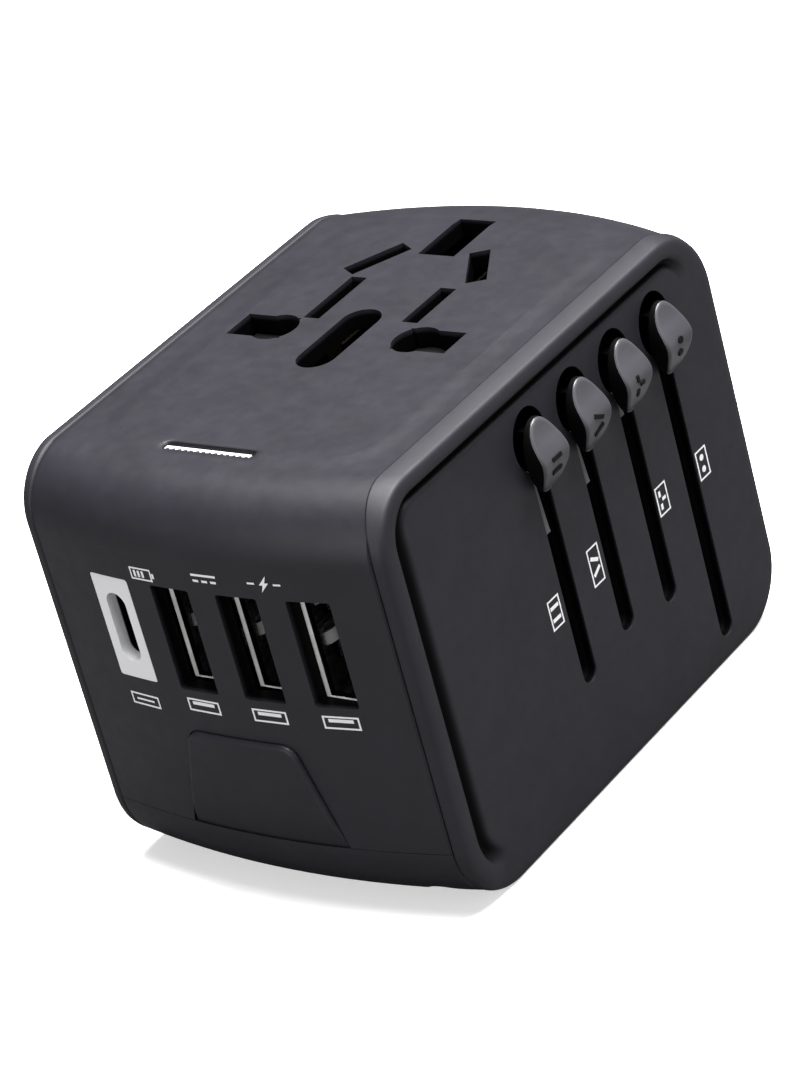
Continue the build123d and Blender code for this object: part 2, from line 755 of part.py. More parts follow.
# ---- Light pipe and status light ----
with BuildPart() as light_pipe:
    pipe_front = light_y - light_width / 2 + 0.05
    pipe_back = pipe_front + light_bar_width
    half = light_length / 2 - light_end_gap
    block((socket_x - half, socket_x + half), (pipe_front, pipe_back), (light_foot_z, light_top_z))
    block(
        (socket_x - light_foot_half, socket_x + light_foot_half),
        (pipe_front, board_front - 1.9),
        (light_foot_z, light_foot_top_z),
    )
    # finely toothed top edge
    pitch = 2 * half / light_teeth
    with BuildSketch(Plane.XY.offset(light_top_z)):
        with Locations((socket_x, pipe_front)):
            with GridLocations(pitch, 1, light_teeth, 1):
                Circle(pitch * 0.33)
    extrude(amount=-0.6, mode=Mode.SUBTRACT)
light_pipe.part.label = "light_pipe"
export_step(light_pipe.part, "parts/light_pipe.step")

with BuildPart() as status_led:
    block(
        (socket_x - 0.8, socket_x + 0.8),
        (board_front - 1.7, board_front - solder_gap),
        (light_foot_z + 0.1, light_foot_top_z - 0.1),
    )
status_led.part.label = "status_led"
export_step(status_led.part, "parts/status_led.step")

# ---- USB board and ports ----
with BuildPart() as usb_circuit_board:
    block((-board_half_width, board_half_width), (board_front, board_front + board_thickness), board_z)
    fillet(usb_circuit_board.edges().filter_by(Axis.Y), 1.0)
usb_circuit_board.part.label = "usb_circuit_board"
export_step(usb_circuit_board.part, "parts/usb_circuit_board.step")


def usb_a_shell(port_x):
    """Folded metal shell of a USB-A port, open at the front, with spring tabs pushed in from its sides."""
    inner_half_x = shell_inner[0] / 2
    inner_half_z = shell_inner[1] / 2
    outer_half_x = inner_half_x + shell_thickness
    outer_half_z = inner_half_z + shell_thickness
    back = board_front - solder_gap
    with BuildPart() as shell:
        block(
            (port_x - outer_half_x, port_x + outer_half_x),
            (shell_front, back),
            (port_z - outer_half_z, port_z + outer_half_z),
        )
        block(
            (port_x - inner_half_x, port_x + inner_half_x),
            (shell_front, back - shell_thickness),
            (port_z - inner_half_z, port_z + inner_half_z),
            mode=Mode.SUBTRACT,
        )
        for side in (-1, 1):
            for height in (-spring_tab_z, spring_tab_z):
                # window left where a spring tab is cut free
                with Locations((port_x + side * outer_half_x, shell_front + 5.2, port_z + height)):
                    Box(1.2, 6.0, spring_tab_height + 0.7, mode=Mode.SUBTRACT)
                # spring tab, bent inwards at its free end
                with BuildSketch(Plane.XY.offset(port_z + height - spring_tab_height / 2)):
                    with BuildLine():
                        root_x = port_x + side * outer_half_x
                        root_in_x = port_x + side * inner_half_x
                        tip_x = port_x + side * (inner_half_x - spring_tab_reach)
                        Polyline(
                            (root_x, shell_front + 8.6),
                            (root_in_x, shell_front + 8.6),
                            (tip_x, shell_front + 3.4),
                            (tip_x + side * 0.3, shell_front + 2.6),
                            (tip_x + side * 0.62, shell_front + 3.0),
                            (root_x, shell_front + 8.0),
                            close=True,
                        )
                    make_face()
                extrude(amount=spring_tab_height)
    return shell.part


def usb_a_tongue(port_x):
    """Plastic contact tongue inside a USB-A port, on its foot against the board."""
    with BuildPart() as tongue:
        block(
            (port_x + 0.2, port_x + 1.9),
            (shell_front + 3.5, board_front - 1.6),
            (port_z - 5.6, port_z + 5.6),
        )
        block(
            (port_x - 2.3, port_x + 2.3),
            (board_front - 2.2, board_front - 0.45),
            (port_z - 6.0, port_z + 6.0),
        )
    return tongue.part


for number in (1, 2, 3):
    port_x = port_first_x + port_pitch * number
    shell_part = usb_a_shell(port_x)
    shell_part.label = f"usb_a_shell_{number}"
    export_step(shell_part, f"parts/usb_a_shell_{number}.step")
    tongue_part = usb_a_tongue(port_x)
    tongue_part.label = f"usb_a_tongue_{number}"
    export_step(tongue_part, f"parts/usb_a_tongue_{number}.step")

with BuildPart() as usb_c_bezel:
    with BuildSketch(Plane.XZ.offset(-body_front + 1)):
        with Locations((port_first_x, port_z)):
            RectangleRounded(round_port_window_x - 0.1, port_window_z - 0.1, round_window_corner - 0.05)
    extrude(amount=body_front - 1 - bezel_back)
    add(body_form(0.05, seam_x), mode=Mode.INTERSECT)
    # funnel mouth that narrows to the metal shell behind it
    with BuildSketch(Plane.XZ.offset(-bezel_back)):
        with Locations((port_first_x, port_z)):
            SlotOverall(8.2, 2.5, rotation=90)
    extrude(amount=6, taper=round_mouth_slope, mode=Mode.SUBTRACT)
usb_c_bezel.part.label = "usb_c_bezel"
export_step(usb_c_bezel.part, "parts/usb_c_bezel.step")

with BuildPart() as usb_c_shell:
    with BuildSketch(Plane.XZ.offset(-board_front + solder_gap)):
        with Locations((port_first_x, port_z)):
            SlotOverall(*round_shell_outer, rotation=90)
    extrude(amount=board_front - solder_gap - round_shell_front)
    with BuildSketch(Plane.XZ.offset(-board_front + solder_gap + 0.4)):
        with Locations((port_first_x, port_z)):
            SlotOverall(*round_shell_inner, rotation=90)
    extrude(amount=board_front - round_shell_front, mode=Mode.SUBTRACT)
usb_c_shell.part.label = "usb_c_shell"
export_step(usb_c_shell.part, "parts/usb_c_shell.step")

with BuildPart() as usb_c_tongue:
    block((port_first_x - 0.35, port_first_x + 0.35), (-30.4, -22.0), (port_z - 3.3, port_z + 3.3))
    block(
        (port_first_x - 1.1, port_first_x + 1.1),
        (-22.2, board_front - 0.45),
        (port_z - 3.0, port_z + 3.0),
    )
usb_c_tongue.part.label = "usb_c_tongue"
export_step(usb_c_tongue.part, "parts/usb_c_tongue.step")

# ---- Transformer, capacitors and chip on the board ----
coil_centre = (sum(transformer_x) / 2, sum(transformer_y) / 2)
post_height = transformer_z[1] - transformer_z[0] - 2 * core_plate
with BuildPart() as transformer_core:
    block(transformer_x, transformer_y, transformer_z)
    block(
        (transformer_x[0] + core_limb, transformer_x[1] - core_limb),
        transformer_y,
        (transformer_z[0] + core_plate, transformer_z[1] - core_plate),
        mode=Mode.SUBTRACT,
    )
    with BuildSketch(Plane.XY.offset(transformer_z[0] + core_plate)):
        with Locations(coil_centre):
            Circle(core_post_radius)
    extrude(amount=post_height)
transformer_core.part.label = "transformer_core"
export_step(transformer_core.part, "parts/transformer_core.step")

with BuildPart() as transformer_coil:
    with BuildSketch(Plane.XY.offset(transformer_z[0] + core_plate + coil_end_gap)):
        with Locations(coil_centre):
            Circle(coil_radius)
            Circle(core_post_radius + coil_gap, mode=Mode.SUBTRACT)
    extrude(amount=post_height - 2 * coil_end_gap)
transformer_coil.part.label = "transformer_coil"
export_step(transformer_coil.part, "parts/transformer_coil.step")

with BuildPart() as capacitors:
    with BuildSketch(Plane.XZ.offset(-board_front + solder_gap)):
        with Locations(capacitor_places):
            Circle(capacitor_radius)
    extrude(amount=capacitor_length)
    fillet(capacitors.edges().group_by(Axis.Y)[0], 0.5)
capacitors.part.label = "capacitors"
export_step(capacitors.part, "parts/capacitors.step")

with BuildPart() as charge_chip:
    chip_y = board_front + board_thickness + solder_gap
    block((4, 9), (chip_y, chip_y + 1.1), (30, 35))
charge_chip.part.label = "charge_chip"
export_step(charge_chip.part, "parts/charge_chip.step")

# ---- Socket contacts ----
tray_x = (-19.8, 16.0)
tray_y = (-5.5, 29.8)
tray_top = tray_z + tray_thickness
with BuildPart() as contact_tray:
    block(tray_x, tray_y, (tray_z, tray_top))
    post = 2.4
    for x in (tray_x[0], tray_x[1] - post):
        for y in (tray_y[0], tray_y[1] - post - 6.0):
            block((x, x + post), (y, y + post), (tray_top, body_top - wall - 0.02))
    with BuildSketch(Plane.XY.offset(tray_z)):
        socket_holes(0.4)
    extrude(amount=tray_thickness, mode=Mode.SUBTRACT)
contact_tray.part.label = "contact_tray"
export_step(contact_tray.part, "parts/contact_tray.step")


def leaf_pair(x, y, gap, leaf_width, turn=0.0):
    """Two upright spring leaves that grip a pin between them, added to the part being built."""
    low = tray_top + solder_gap
    shift = gap / 2 + leaf_thickness / 2
    with Locations(Location((x, y, (low + leaf_top_z) / 2), (0, 0, turn))):
        with Locations((-shift, 0, 0), (shift, 0, 0)):
            Box(leaf_thickness, leaf_width, leaf_top_z - low)


def line_contact(side):
    """Brass strip on one side of the socket, with leaves for the round, flat and angled pins."""
    ends = sorted((socket_x + side * 5.0, socket_x + side * 15.4))
    strip_z = tray_top + solder_gap
    with BuildPart() as contact:
        block(ends, (socket_y - 4.4, socket_y + 21.0), (strip_z, strip_z + strip_thickness))
        with BuildSketch(Plane.XY.offset(strip_z)):
            socket_holes(0.05)
        extrude(amount=strip_thickness, mode=Mode.SUBTRACT)
        leaf_pair(socket_x + side * uk_half_spacing, socket_y, 5.4, 6.0, turn=90)
        leaf_pair(socket_x + side * us_half_spacing, flat_row_y, 2.2, 5.0)
        leaf_pair(socket_x + side * aus_half_spacing, angled_row_y, 2.5, 5.0, turn=side * aus_angle)
    return contact.part


live_contact = line_contact(-1)
live_contact.label = "live_contact"
export_step(live_contact, "parts/live_contact.step")
neutral_contact = line_contact(1)
neutral_contact.label = "neutral_contact"
export_step(neutral_contact, "parts/neutral_contact.step")

with BuildPart() as earth_contact:
    strip_z = tray_top + solder_gap
    wide = (socket_x - 4.2, socket_x + 4.2)
    narrow = (socket_x - 3.9, socket_x + 3.9)
    block(wide, (socket_y + 10, socket_y + 28.5), (strip_z, strip_z + strip_thickness))
    block(narrow, (socket_y - 4.4, socket_y + 10), (strip_z, strip_z + strip_thickness))
    with BuildSketch(Plane.XY.offset(strip_z)):
        socket_holes(0.05)
    extrude(amount=strip_thickness, mode=Mode.SUBTRACT)
    leaf_pair(socket_x, oval_hole_y, 5.0, 5.0)
    leaf_pair(socket_x, earth_row_y, 5.0, 7.0)
earth_contact.part.label = "earth_contact"
export_step(earth_contact.part, "parts/earth_contact.step")

# ---- Safety shutter: a U that covers the live and neutral holes ----
shutter_z_range = (shutter_z, shutter_z + shutter_thickness)
shutter_half = 14.6
with BuildPart() as safety_shutter:
    block((socket_x - shutter_half, socket_x + shutter_half), (-12.4, -9.0), shutter_z_range)
    for side in (-1, 1):
        arm = sorted((socket_x + side * 6.4, socket_x + side * shutter_half))
        block(arm, (-9.0, 2.4), shutter_z_range)
safety_shutter.part.label = "safety_shutter"
export_step(safety_shutter.part, "parts/safety_shutter.step")

# ---- Fuse and clips ----
with BuildPart() as fuse:
    with BuildSketch(Plane.YZ.offset(fuse_x[0])):
        with Locations((fuse_y, fuse_z)):
            Circle(fuse_radius)
    extrude(amount=fuse_x[1] - fuse_x[0])
    # glass tube, thinner than the metal end caps
    with BuildSketch(Plane.YZ.offset(fuse_x[0] + fuse_cap)):
        with Locations((fuse_y, fuse_z)):
            Circle(fuse_radius + 0.4)
            Circle(fuse_glass_radius, mode=Mode.SUBTRACT)
    extrude(amount=fuse_x[1] - fuse_x[0] - 2 * fuse_cap, mode=Mode.SUBTRACT)
fuse.part.label = "fuse"
export_step(fuse.part, "parts/fuse.step")

with BuildPart() as fuse_clips:
    clip_top = fuse_z + clip_radius - 0.2
    with BuildSketch(Plane.YZ.offset(fuse_x[0] + clip_end_gap)):
        with Locations((fuse_y, fuse_z)):
            Circle(clip_radius)
            Circle(fuse_radius + 0.04, mode=Mode.SUBTRACT)
        with Locations((fuse_y, fuse_z - clip_radius)):
            Rectangle(clip_radius, clip_radius, mode=Mode.SUBTRACT)
        with Locations((fuse_y, (clip_top + tray_z) / 2)):
            Rectangle(1.2, tray_z - solder_gap - clip_top)
    extrude(amount=clip_length)
    mirror(about=Plane.YZ.offset(sum(fuse_x) / 2))
fuse_clips.part.label = "fuse_clips"
export_step(fuse_clips.part, "parts/fuse_clips.step")

# ---- Case screws, as one group ----
with BuildPart() as case_screws:
    head_z = screw_seat_z - screw_head_height - 0.02
    with BuildSketch(Plane.XY.offset(head_z)):
        with Locations(screw_places):
            Circle(screw_head_radius)
    extrude(amount=screw_head_height)
    with BuildSketch(Plane.XY.offset(head_z + screw_head_height)):
        with Locations(screw_places):
            Circle(screw_radius)
    extrude(amount=screw_length)
    with BuildSketch(Plane.XY.offset(head_z)):
        with Locations(screw_places):
            Rectangle(*screw_slot)
            Rectangle(*reversed(screw_slot))
    extrude(amount=screw_slot_depth, mode=Mode.SUBTRACT)
case_screws.part.label = "case_screws"
export_step(case_screws.part, "parts/case_screws.step")
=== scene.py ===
import json
import math

import bmesh
import bpy
from mathutils import Matrix, Vector


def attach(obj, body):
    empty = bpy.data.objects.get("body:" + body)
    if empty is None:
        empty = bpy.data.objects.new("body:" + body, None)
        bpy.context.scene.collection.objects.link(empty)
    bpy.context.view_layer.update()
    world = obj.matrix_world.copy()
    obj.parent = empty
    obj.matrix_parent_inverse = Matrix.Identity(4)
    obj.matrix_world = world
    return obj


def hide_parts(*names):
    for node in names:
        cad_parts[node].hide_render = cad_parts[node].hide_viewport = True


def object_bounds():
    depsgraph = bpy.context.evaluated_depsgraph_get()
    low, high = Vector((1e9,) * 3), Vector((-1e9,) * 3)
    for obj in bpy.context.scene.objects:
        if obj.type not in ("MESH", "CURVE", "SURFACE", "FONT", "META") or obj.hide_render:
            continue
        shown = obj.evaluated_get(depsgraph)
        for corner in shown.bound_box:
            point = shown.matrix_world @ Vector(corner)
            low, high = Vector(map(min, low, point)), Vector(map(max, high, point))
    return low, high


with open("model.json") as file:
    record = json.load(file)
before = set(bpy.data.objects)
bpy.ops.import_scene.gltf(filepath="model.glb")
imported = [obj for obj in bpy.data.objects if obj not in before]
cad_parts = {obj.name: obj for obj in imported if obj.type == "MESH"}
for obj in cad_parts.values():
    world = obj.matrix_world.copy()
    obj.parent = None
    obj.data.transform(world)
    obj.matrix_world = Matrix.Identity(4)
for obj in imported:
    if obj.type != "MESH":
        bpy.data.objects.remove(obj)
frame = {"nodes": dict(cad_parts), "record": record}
cad_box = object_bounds()
nodes = frame["nodes"]

# Everything is in metres, in the CAD frame: +Z up to the socket face, -Y towards the USB front,
# +X towards the sliders.
MM = 0.001
BODY_FRONT = -35.8
BODY_TOP = 50.1
FRONT_ARC = 108.0
BACK_ARC = 61.0
OUTLINE_RADII = {"top_front": 7.0, "top_back": 8.7, "bottom_front": 8.6, "bottom_back": 7.6}
SEAM_X = 22.46
GUIDE_X = 20.75
PANEL_X = 23.5
# inset and x up the front, inset and x along the top, x where there is no rim, share of painted shade along
# the seam and in the groove
COVER_PROFILE = [
    (0.08, 22.6, 0.06, 20.84, 22.6, 1.0),
    (0.03, 22.68, -0.1, 20.88, 22.68, 1.0),
    (0.0, 22.8, -0.16, 20.97, 22.8, 0.9),
    (0.0, 22.95, -0.15, 21.08, 22.9, 0.0),
    (0.0, 23.3, 0.02, 23.2, 23.0, 0.0),
    (0.05, 23.62, 0.12, 23.4, 23.2, 0.0),
    (0.15, 23.8, 0.25, 23.55, 23.34, 0.0),
    (0.35, 23.93, 0.45, 23.65, 23.43, 0.0),
    (0.65, 24.0, 0.75, 23.74, 23.48, 0.0),
    (1.1, 24.04, 1.15, 23.8, 23.5, 0.0),
    (1.8, 24.02, 1.5, 23.82, 23.5, 0.0),
    (2.35, 23.93, 1.75, 23.72, 23.5, 0.2),
    (2.7, 23.7, 1.92, 23.5, 23.5, 0.6),
    (2.95, 23.35, 2.05, 23.2, 23.5, 0.9),
    (3.15, 23.05, 2.18, 22.98, 23.5, 1.0),
    (3.45, 22.88, 2.33, 22.87, 23.5, 1.0),
    (3.8, 22.85, 2.5, 22.87, 23.5, 1.0),
    (4.1, 22.98, 2.66, 22.98, 23.5, 1.0),
    (4.35, 23.22, 2.82, 23.2, 23.5, 0.85),
    (4.55, 23.42, 2.97, 23.4, 23.5, 0.5),
    (4.8, 23.5, 3.12, 23.5, 23.5, 0.2),
    (5.2, 23.5, 3.5, 23.5, 23.5, 0.0),
]
# beyond these the socket face has no holes, so its pad's edge is shaded soft
PAD_EDGE_X = 16.0
PAD_EDGE_Y = -24.5
PAD_SOFTNESS = 1.2
# the two line holes reach out to here, between these y
LINE_HOLES_X = 18.6
LINE_HOLES_Y = (-6, 10)
SOCKET_FACE_Z = (48, 52)
# spans within which painted shade turns the plastic black below the surface
WINDOW_HALF_HEIGHT = 7
WINDOW_BACK_Y = -28
SOCKET_ROW_X = (-18.5, 18.5)
SOCKET_ROW_Y = (-9, 22)
EARTH_HOLE_X = (-5, 5)
EARTH_HOLE_Y = (-9, 27)
SLOTS_SPAN_Y = (-9.6, 23.4)
SLOTS_SPAN_Z = (2.2, 46.2)
# y behind which painted shade turns the small port's bezel black
MOUTH_SHADE_Y = -33.5
COVER_BACK_INSET = 0.25
STRAIGHT_STEPS = 14
CORNER_STEPS = 20
PORT_Z = 32.8
PORT_XS = (-3.6, 5.2, 14.0)
ROUND_PORT_X = -12.4
SLIDERS = ("us", "aus", "uk", "eu")
SLOT_YS = (-5.7, 2.7, 11.1, 19.5)
SLOT_BOTTOMS = (12.5, 13.9, 12.4, 2.7)
SLOT_WIDTH = 2.5
LEDGE_BOTTOMS = (31.6, 32.8, 36.2)
LEDGE_TOP = 38.8
LEDGE_WIDTH = 0.92
LEDGE_SOFTNESS = 0.1
GUIDES_SPAN_Y = (-9.0, 23.2)
GUIDES_SPAN_Z = (2.1, 46.6)
# half width and half height
KEYHOLE = (3.0, 3.7)
KEYHOLE_Z = 42.45
KEYHOLE_STEPS = 48
SLOT_END_STEPS = 16
# half width and half height
KNOB = (2.5, 4.35)
KNOB_Z = 40.8
KNOB_UNDER_X = 24.05
KNOB_HOLLOW = 0.15
# rings of faces, from the knob's underside up, that are its flank, painted shadow black as painted shade
FLANK_RINGS = 3
# x of a knob's face at even steps of height, from its tail to its top
KNOB_PROFILE = (24.45, 25.3, 25.9, 26.35, 26.5, 26.15, 25.65, 25.32, 25.2)
KNOB_REACH = 4.4
# the knob face's rings as shares of its size, close together at the rounded edge
KNOB_RINGS = (
    1.0, 0.995, 0.985, 0.965, 0.94, 0.9, 0.86, 0.8, 0.73,
    0.66, 0.59, 0.52, 0.45, 0.38, 0.3, 0.22, 0.13, 0.05,
)
KNOB_AROUND = 72
KNOB_EDGE_START = 0.86
KNOB_EDGE_DROP = 0.42
NECK_INNER_X = 18.1
NECK_OFFSET = 0.45
NECK_WIDTH = 1.4
NECK_BOTTOMS = (39.0, 39.0, 39.0, 36.8)
NECK_TOP = 43.4
# y and z of the marks beside the slots
PANEL_MARKS = ((-8.75, 23.1), (-0.35, 23.9), (13.6, 23.9), (22.1, 23.5))
PRINT_LINE = 0.22
# how far below a knob's centre its mark sits
MARK_DROP = 0.9
# y of the USB-A lips' back and front, and of the leaves' front
LIP_BACK_Y = -32.34
LIP_FRONT_Y = -33.2
LEAF_FRONT_Y = -31.2
LEAF_LENGTH = 3.4
LEAF_STEPS = 8
LEAF_REACH = 0.5
LEAF_THICKNESS = 0.14
LEAF_HALF_HEIGHT = 0.75
# height of the leaves' middles over the port's middle
LEAF_MIDDLES = (-0.6, 4.3)


# ---- Material building blocks ----
def start_material(name):
    """A new node material and its Principled shader."""
    material = bpy.data.materials.new(name)
    material.use_nodes = True
    return material, material.node_tree.nodes["Principled BSDF"]


def add_node(material, kind, **settings):
    """A shader node with its settings and its unlinked inputs set by name."""
    node = material.node_tree.nodes.new(kind)
    for key, value in settings.items():
        if hasattr(node, key):
            setattr(node, key, value)
        else:
            node.inputs[key.replace("_", " ")].default_value = value
    return node


def link(material, output, target):
    material.node_tree.links.new(output, target)


def noise_of(material, size_mm, detail=3.0, stretch=(1, 1, 1)):
    """Noise whose blotches are about size_mm wide, in the object's own space."""
    place = add_node(material, "ShaderNodeTexCoord")
    scaled = add_node(material, "ShaderNodeMapping", Scale=stretch)
    noise = add_node(material, "ShaderNodeTexNoise", Scale=1 / (size_mm * MM), Detail=detail)
    link(material, place.outputs["Object"], scaled.inputs["Vector"])
    link(material, scaled.outputs["Vector"], noise.inputs["Vector"])
    return noise.outputs["Fac"]


def spread(material, value, low, high, start=0.3, end=0.7):
    """Value, which runs mostly from start to end, stretched to low..high."""
    ramp = add_node(
        material, "ShaderNodeMapRange", From_Min=start, From_Max=end, To_Min=low, To_Max=high
    )
    link(material, value, ramp.inputs["Value"])
    return ramp.outputs["Result"]


def maths(material, operation, first, second=0.0):
    """One maths node; each operand is a number or another node's output."""
    node = add_node(material, "ShaderNodeMath", operation=operation)
    for operand, socket in zip((first, second), node.inputs):
        if isinstance(operand, bpy.types.NodeSocket):
            link(material, operand, socket)
        else:
            socket.default_value = operand
    return node.outputs["Value"]


def times(material, first, second):
    return maths(material, "MULTIPLY", first, second)


def less(material, first, second):
    return maths(material, "SUBTRACT", first, second)


def larger(material, first, second):
    return maths(material, "MAXIMUM", first, second)


def between(material, value, low_mm, high_mm):
    """1 where a coordinate lies between two values, 0 elsewhere."""
    node = add_node(material, "ShaderNodeMath", operation="COMPARE")
    link(material, value, node.inputs[0])
    node.inputs[1].default_value = (low_mm + high_mm) / 2 * MM
    node.inputs[2].default_value = (high_mm - low_mm) / 2 * MM
    return node.outputs["Value"]


def blend_colours(material, share, first, second):
    """First where share is 0 and second where it is 1; each is a colour or another node's output."""
    mix = add_node(material, "ShaderNodeMix", data_type="RGBA")
    sockets = [socket for socket in mix.inputs if socket.type == "RGBA"]
    for colour, socket in zip((first, second), sockets):
        if isinstance(colour, bpy.types.NodeSocket):
            link(material, colour, socket)
        else:
            socket.default_value = (*colour, 1)
    link(material, share, mix.inputs["Factor"])
    return [socket for socket in mix.outputs if socket.type == "RGBA"][0]


def add_grain(material, shader, size_mm, depth_mm, detail=2.0, stretch=(1, 1, 1)):
    """Fine relief of a moulded or brushed surface."""
    bump = add_node(material, "ShaderNodeBump", Strength=1.0, Distance=depth_mm * MM)
    link(material, noise_of(material, size_mm, detail, stretch), bump.inputs["Height"])
    link(material, bump.outputs["Normal"], shader.inputs["Normal"])


def moulded(name, colour, roughness, grain_mm, grain_depth_mm, specular=0.5, mottle=0.12):
    """Moulded plastic: broad mottling in colour and gloss over a fine grain."""
    material, shader = start_material(name)
    broad = noise_of(material, 6.0)
    darker = [c * (1 - mottle) for c in colour]
    lighter = [c * (1 + mottle) for c in colour]
    share = spread(material, broad, 0.0, 1.0)
    link(material, blend_colours(material, share, darker, lighter), shader.inputs["Base Color"])
    gloss = spread(material, noise_of(material, 1.7), roughness - 0.04, roughness + 0.04)
    link(material, gloss, shader.inputs["Roughness"])
    shader.inputs["Specular IOR Level"].default_value = specular
    add_grain(material, shader, grain_mm, grain_depth_mm)
    return material


def paint_shade_black(material, shader, share):
    """Painted shade: the colour turns black and dull where share is 1."""
    surface = shader.inputs["Base Color"].links[0].from_socket
    colour = blend_colours(material, share, surface, (0.0015, 0.0015, 0.0016))
    link(material, colour, shader.inputs["Base Color"])
    shine = spread(material, share, shader.inputs["Specular IOR Level"].default_value, 0.05, 0.0, 1.0)
    link(material, shine, shader.inputs["Specular IOR Level"])


def object_axes(material):
    """The x, y and z outputs of a point in the object's own space."""
    place = add_node(material, "ShaderNodeTexCoord")
    axes = add_node(material, "ShaderNodeSeparateXYZ")
    link(material, place.outputs["Object"], axes.inputs["Vector"])
    return axes.outputs


def deepening(material, depth, full_depth_mm):
    """0 at a surface, and 1 from full_depth_mm below it."""
    return spread(material, depth, 0.0, 1.0, 0.1 * MM, full_depth_mm * MM)


def paint_shade_inside(material, shader, front_depth_mm, top_depth_mm):
    """Painted shade: the plastic goes black a little way inside the USB windows and the socket holes."""
    x, y, z = object_axes(material)
    bow = times(material, times(material, x, x), 1 / (2 * FRONT_ARC * MM))
    behind_front = less(material, less(material, y, BODY_FRONT * MM), bow)
    below_top = less(material, BODY_TOP * MM, z)
    at_port_height = between(material, z, PORT_Z - WINDOW_HALF_HEIGHT, PORT_Z + WINDOW_HALF_HEIGHT)
    in_windows = times(material, at_port_height, maths(material, "LESS_THAN", y, WINDOW_BACK_Y * MM))
    # the earth hole lies further back than the rest, where only the middle of the face is still flat
    near_row = times(material, between(material, x, *SOCKET_ROW_X), between(material, y, *SOCKET_ROW_Y))
    near_earth = times(material, between(material, x, *EARTH_HOLE_X), between(material, y, *EARTH_HOLE_Y))
    near_socket = larger(material, near_row, near_earth)
    window_shade = times(material, in_windows, deepening(material, behind_front, front_depth_mm))
    socket_shade = times(material, near_socket, deepening(material, below_top, top_depth_mm))
    paint_shade_black(material, shader, larger(material, window_shade, socket_shade))


def soften_pad_edge(material, shader):
    """The raised pad of the socket face runs softly into the face round it."""
    x, y, z = object_axes(material)
    from_middle = maths(material, "ABSOLUTE", x)
    wide = maths(material, "GREATER_THAN", from_middle, PAD_EDGE_X * MM)
    beyond_line_holes = maths(material, "GREATER_THAN", from_middle, LINE_HOLES_X * MM)
    off_line_holes = less(material, 1.0, between(material, y, *LINE_HOLES_Y))
    beside = times(material, wide, larger(material, beyond_line_holes, off_line_holes))
    before = maths(material, "LESS_THAN", y, PAD_EDGE_Y * MM)
    near_edge = times(material, larger(material, beside, before), between(material, z, *SOCKET_FACE_Z))
    soft = add_node(material, "ShaderNodeBevel", samples=8, Radius=PAD_SOFTNESS * MM)
    plain = add_node(material, "ShaderNodeNewGeometry")
    mix = add_node(material, "ShaderNodeMix", data_type="VECTOR")
    # the first vector socket is the factor
    ends = [socket for socket in mix.inputs if socket.type == "VECTOR"][1:3]
    link(material, plain.outputs["Normal"], ends[0])
    link(material, soft.outputs["Normal"], ends[1])
    link(material, near_edge, mix.inputs["Factor"])
    result = [socket for socket in mix.outputs if socket.type == "VECTOR"][0]
    grain = shader.inputs["Normal"].links[0].from_node
    link(material, result, grain.inputs["Normal"])


def paint_mouth_shade(material, shader):
    """Painted shade: the small port's bezel goes black inside its mouth."""
    y = object_axes(material)[1]
    edge = (MOUTH_SHADE_Y - 0.1) * MM, (MOUTH_SHADE_Y + 0.1) * MM
    paint_shade_black(material, shader, spread(material, y, 0.0, 1.0, *edge))


def paint_groove_and_slot_shade(material, shader):
    """Painted shade: the plastic goes black in the side covers' seam and grooves and inside their slots."""
    groove = add_node(material, "ShaderNodeAttribute", attribute_name="groove").outputs["Fac"]
    x, y, z = object_axes(material)
    below_panel = less(material, PANEL_X * MM, maths(material, "ABSOLUTE", x))
    deep = spread(material, below_panel, 0.0, 1.0, 0.08 * MM, 0.35 * MM)
    in_slots = times(material, between(material, y, *SLOTS_SPAN_Y), between(material, z, *SLOTS_SPAN_Z))
    paint_shade_black(material, shader, larger(material, groove, times(material, deep, in_slots)))


def metal(name, colour, roughness, stretch=(1, 1, 1), depth_mm=0.004, metallic=1.0):
    """Plated or brushed metal, with streaks along the stretched axis."""
    material, shader = start_material(name)
    tarnish = [c * 0.72 for c in colour]
    share = spread(material, noise_of(material, 2.5), 0.0, 1.0)
    link(material, blend_colours(material, share, tarnish, colour), shader.inputs["Base Color"])
    gloss = spread(material, noise_of(material, 0.5, 2.0, stretch), roughness - 0.06, roughness + 0.08)
    link(material, gloss, shader.inputs["Roughness"])
    shader.inputs["Metallic"].default_value = metallic
    add_grain(material, shader, 0.25, depth_mm, 2.0, stretch)
    return material


# ---- Materials by slot of the record ----
CASE_COLOUR = (0.0139, 0.0132, 0.0182)
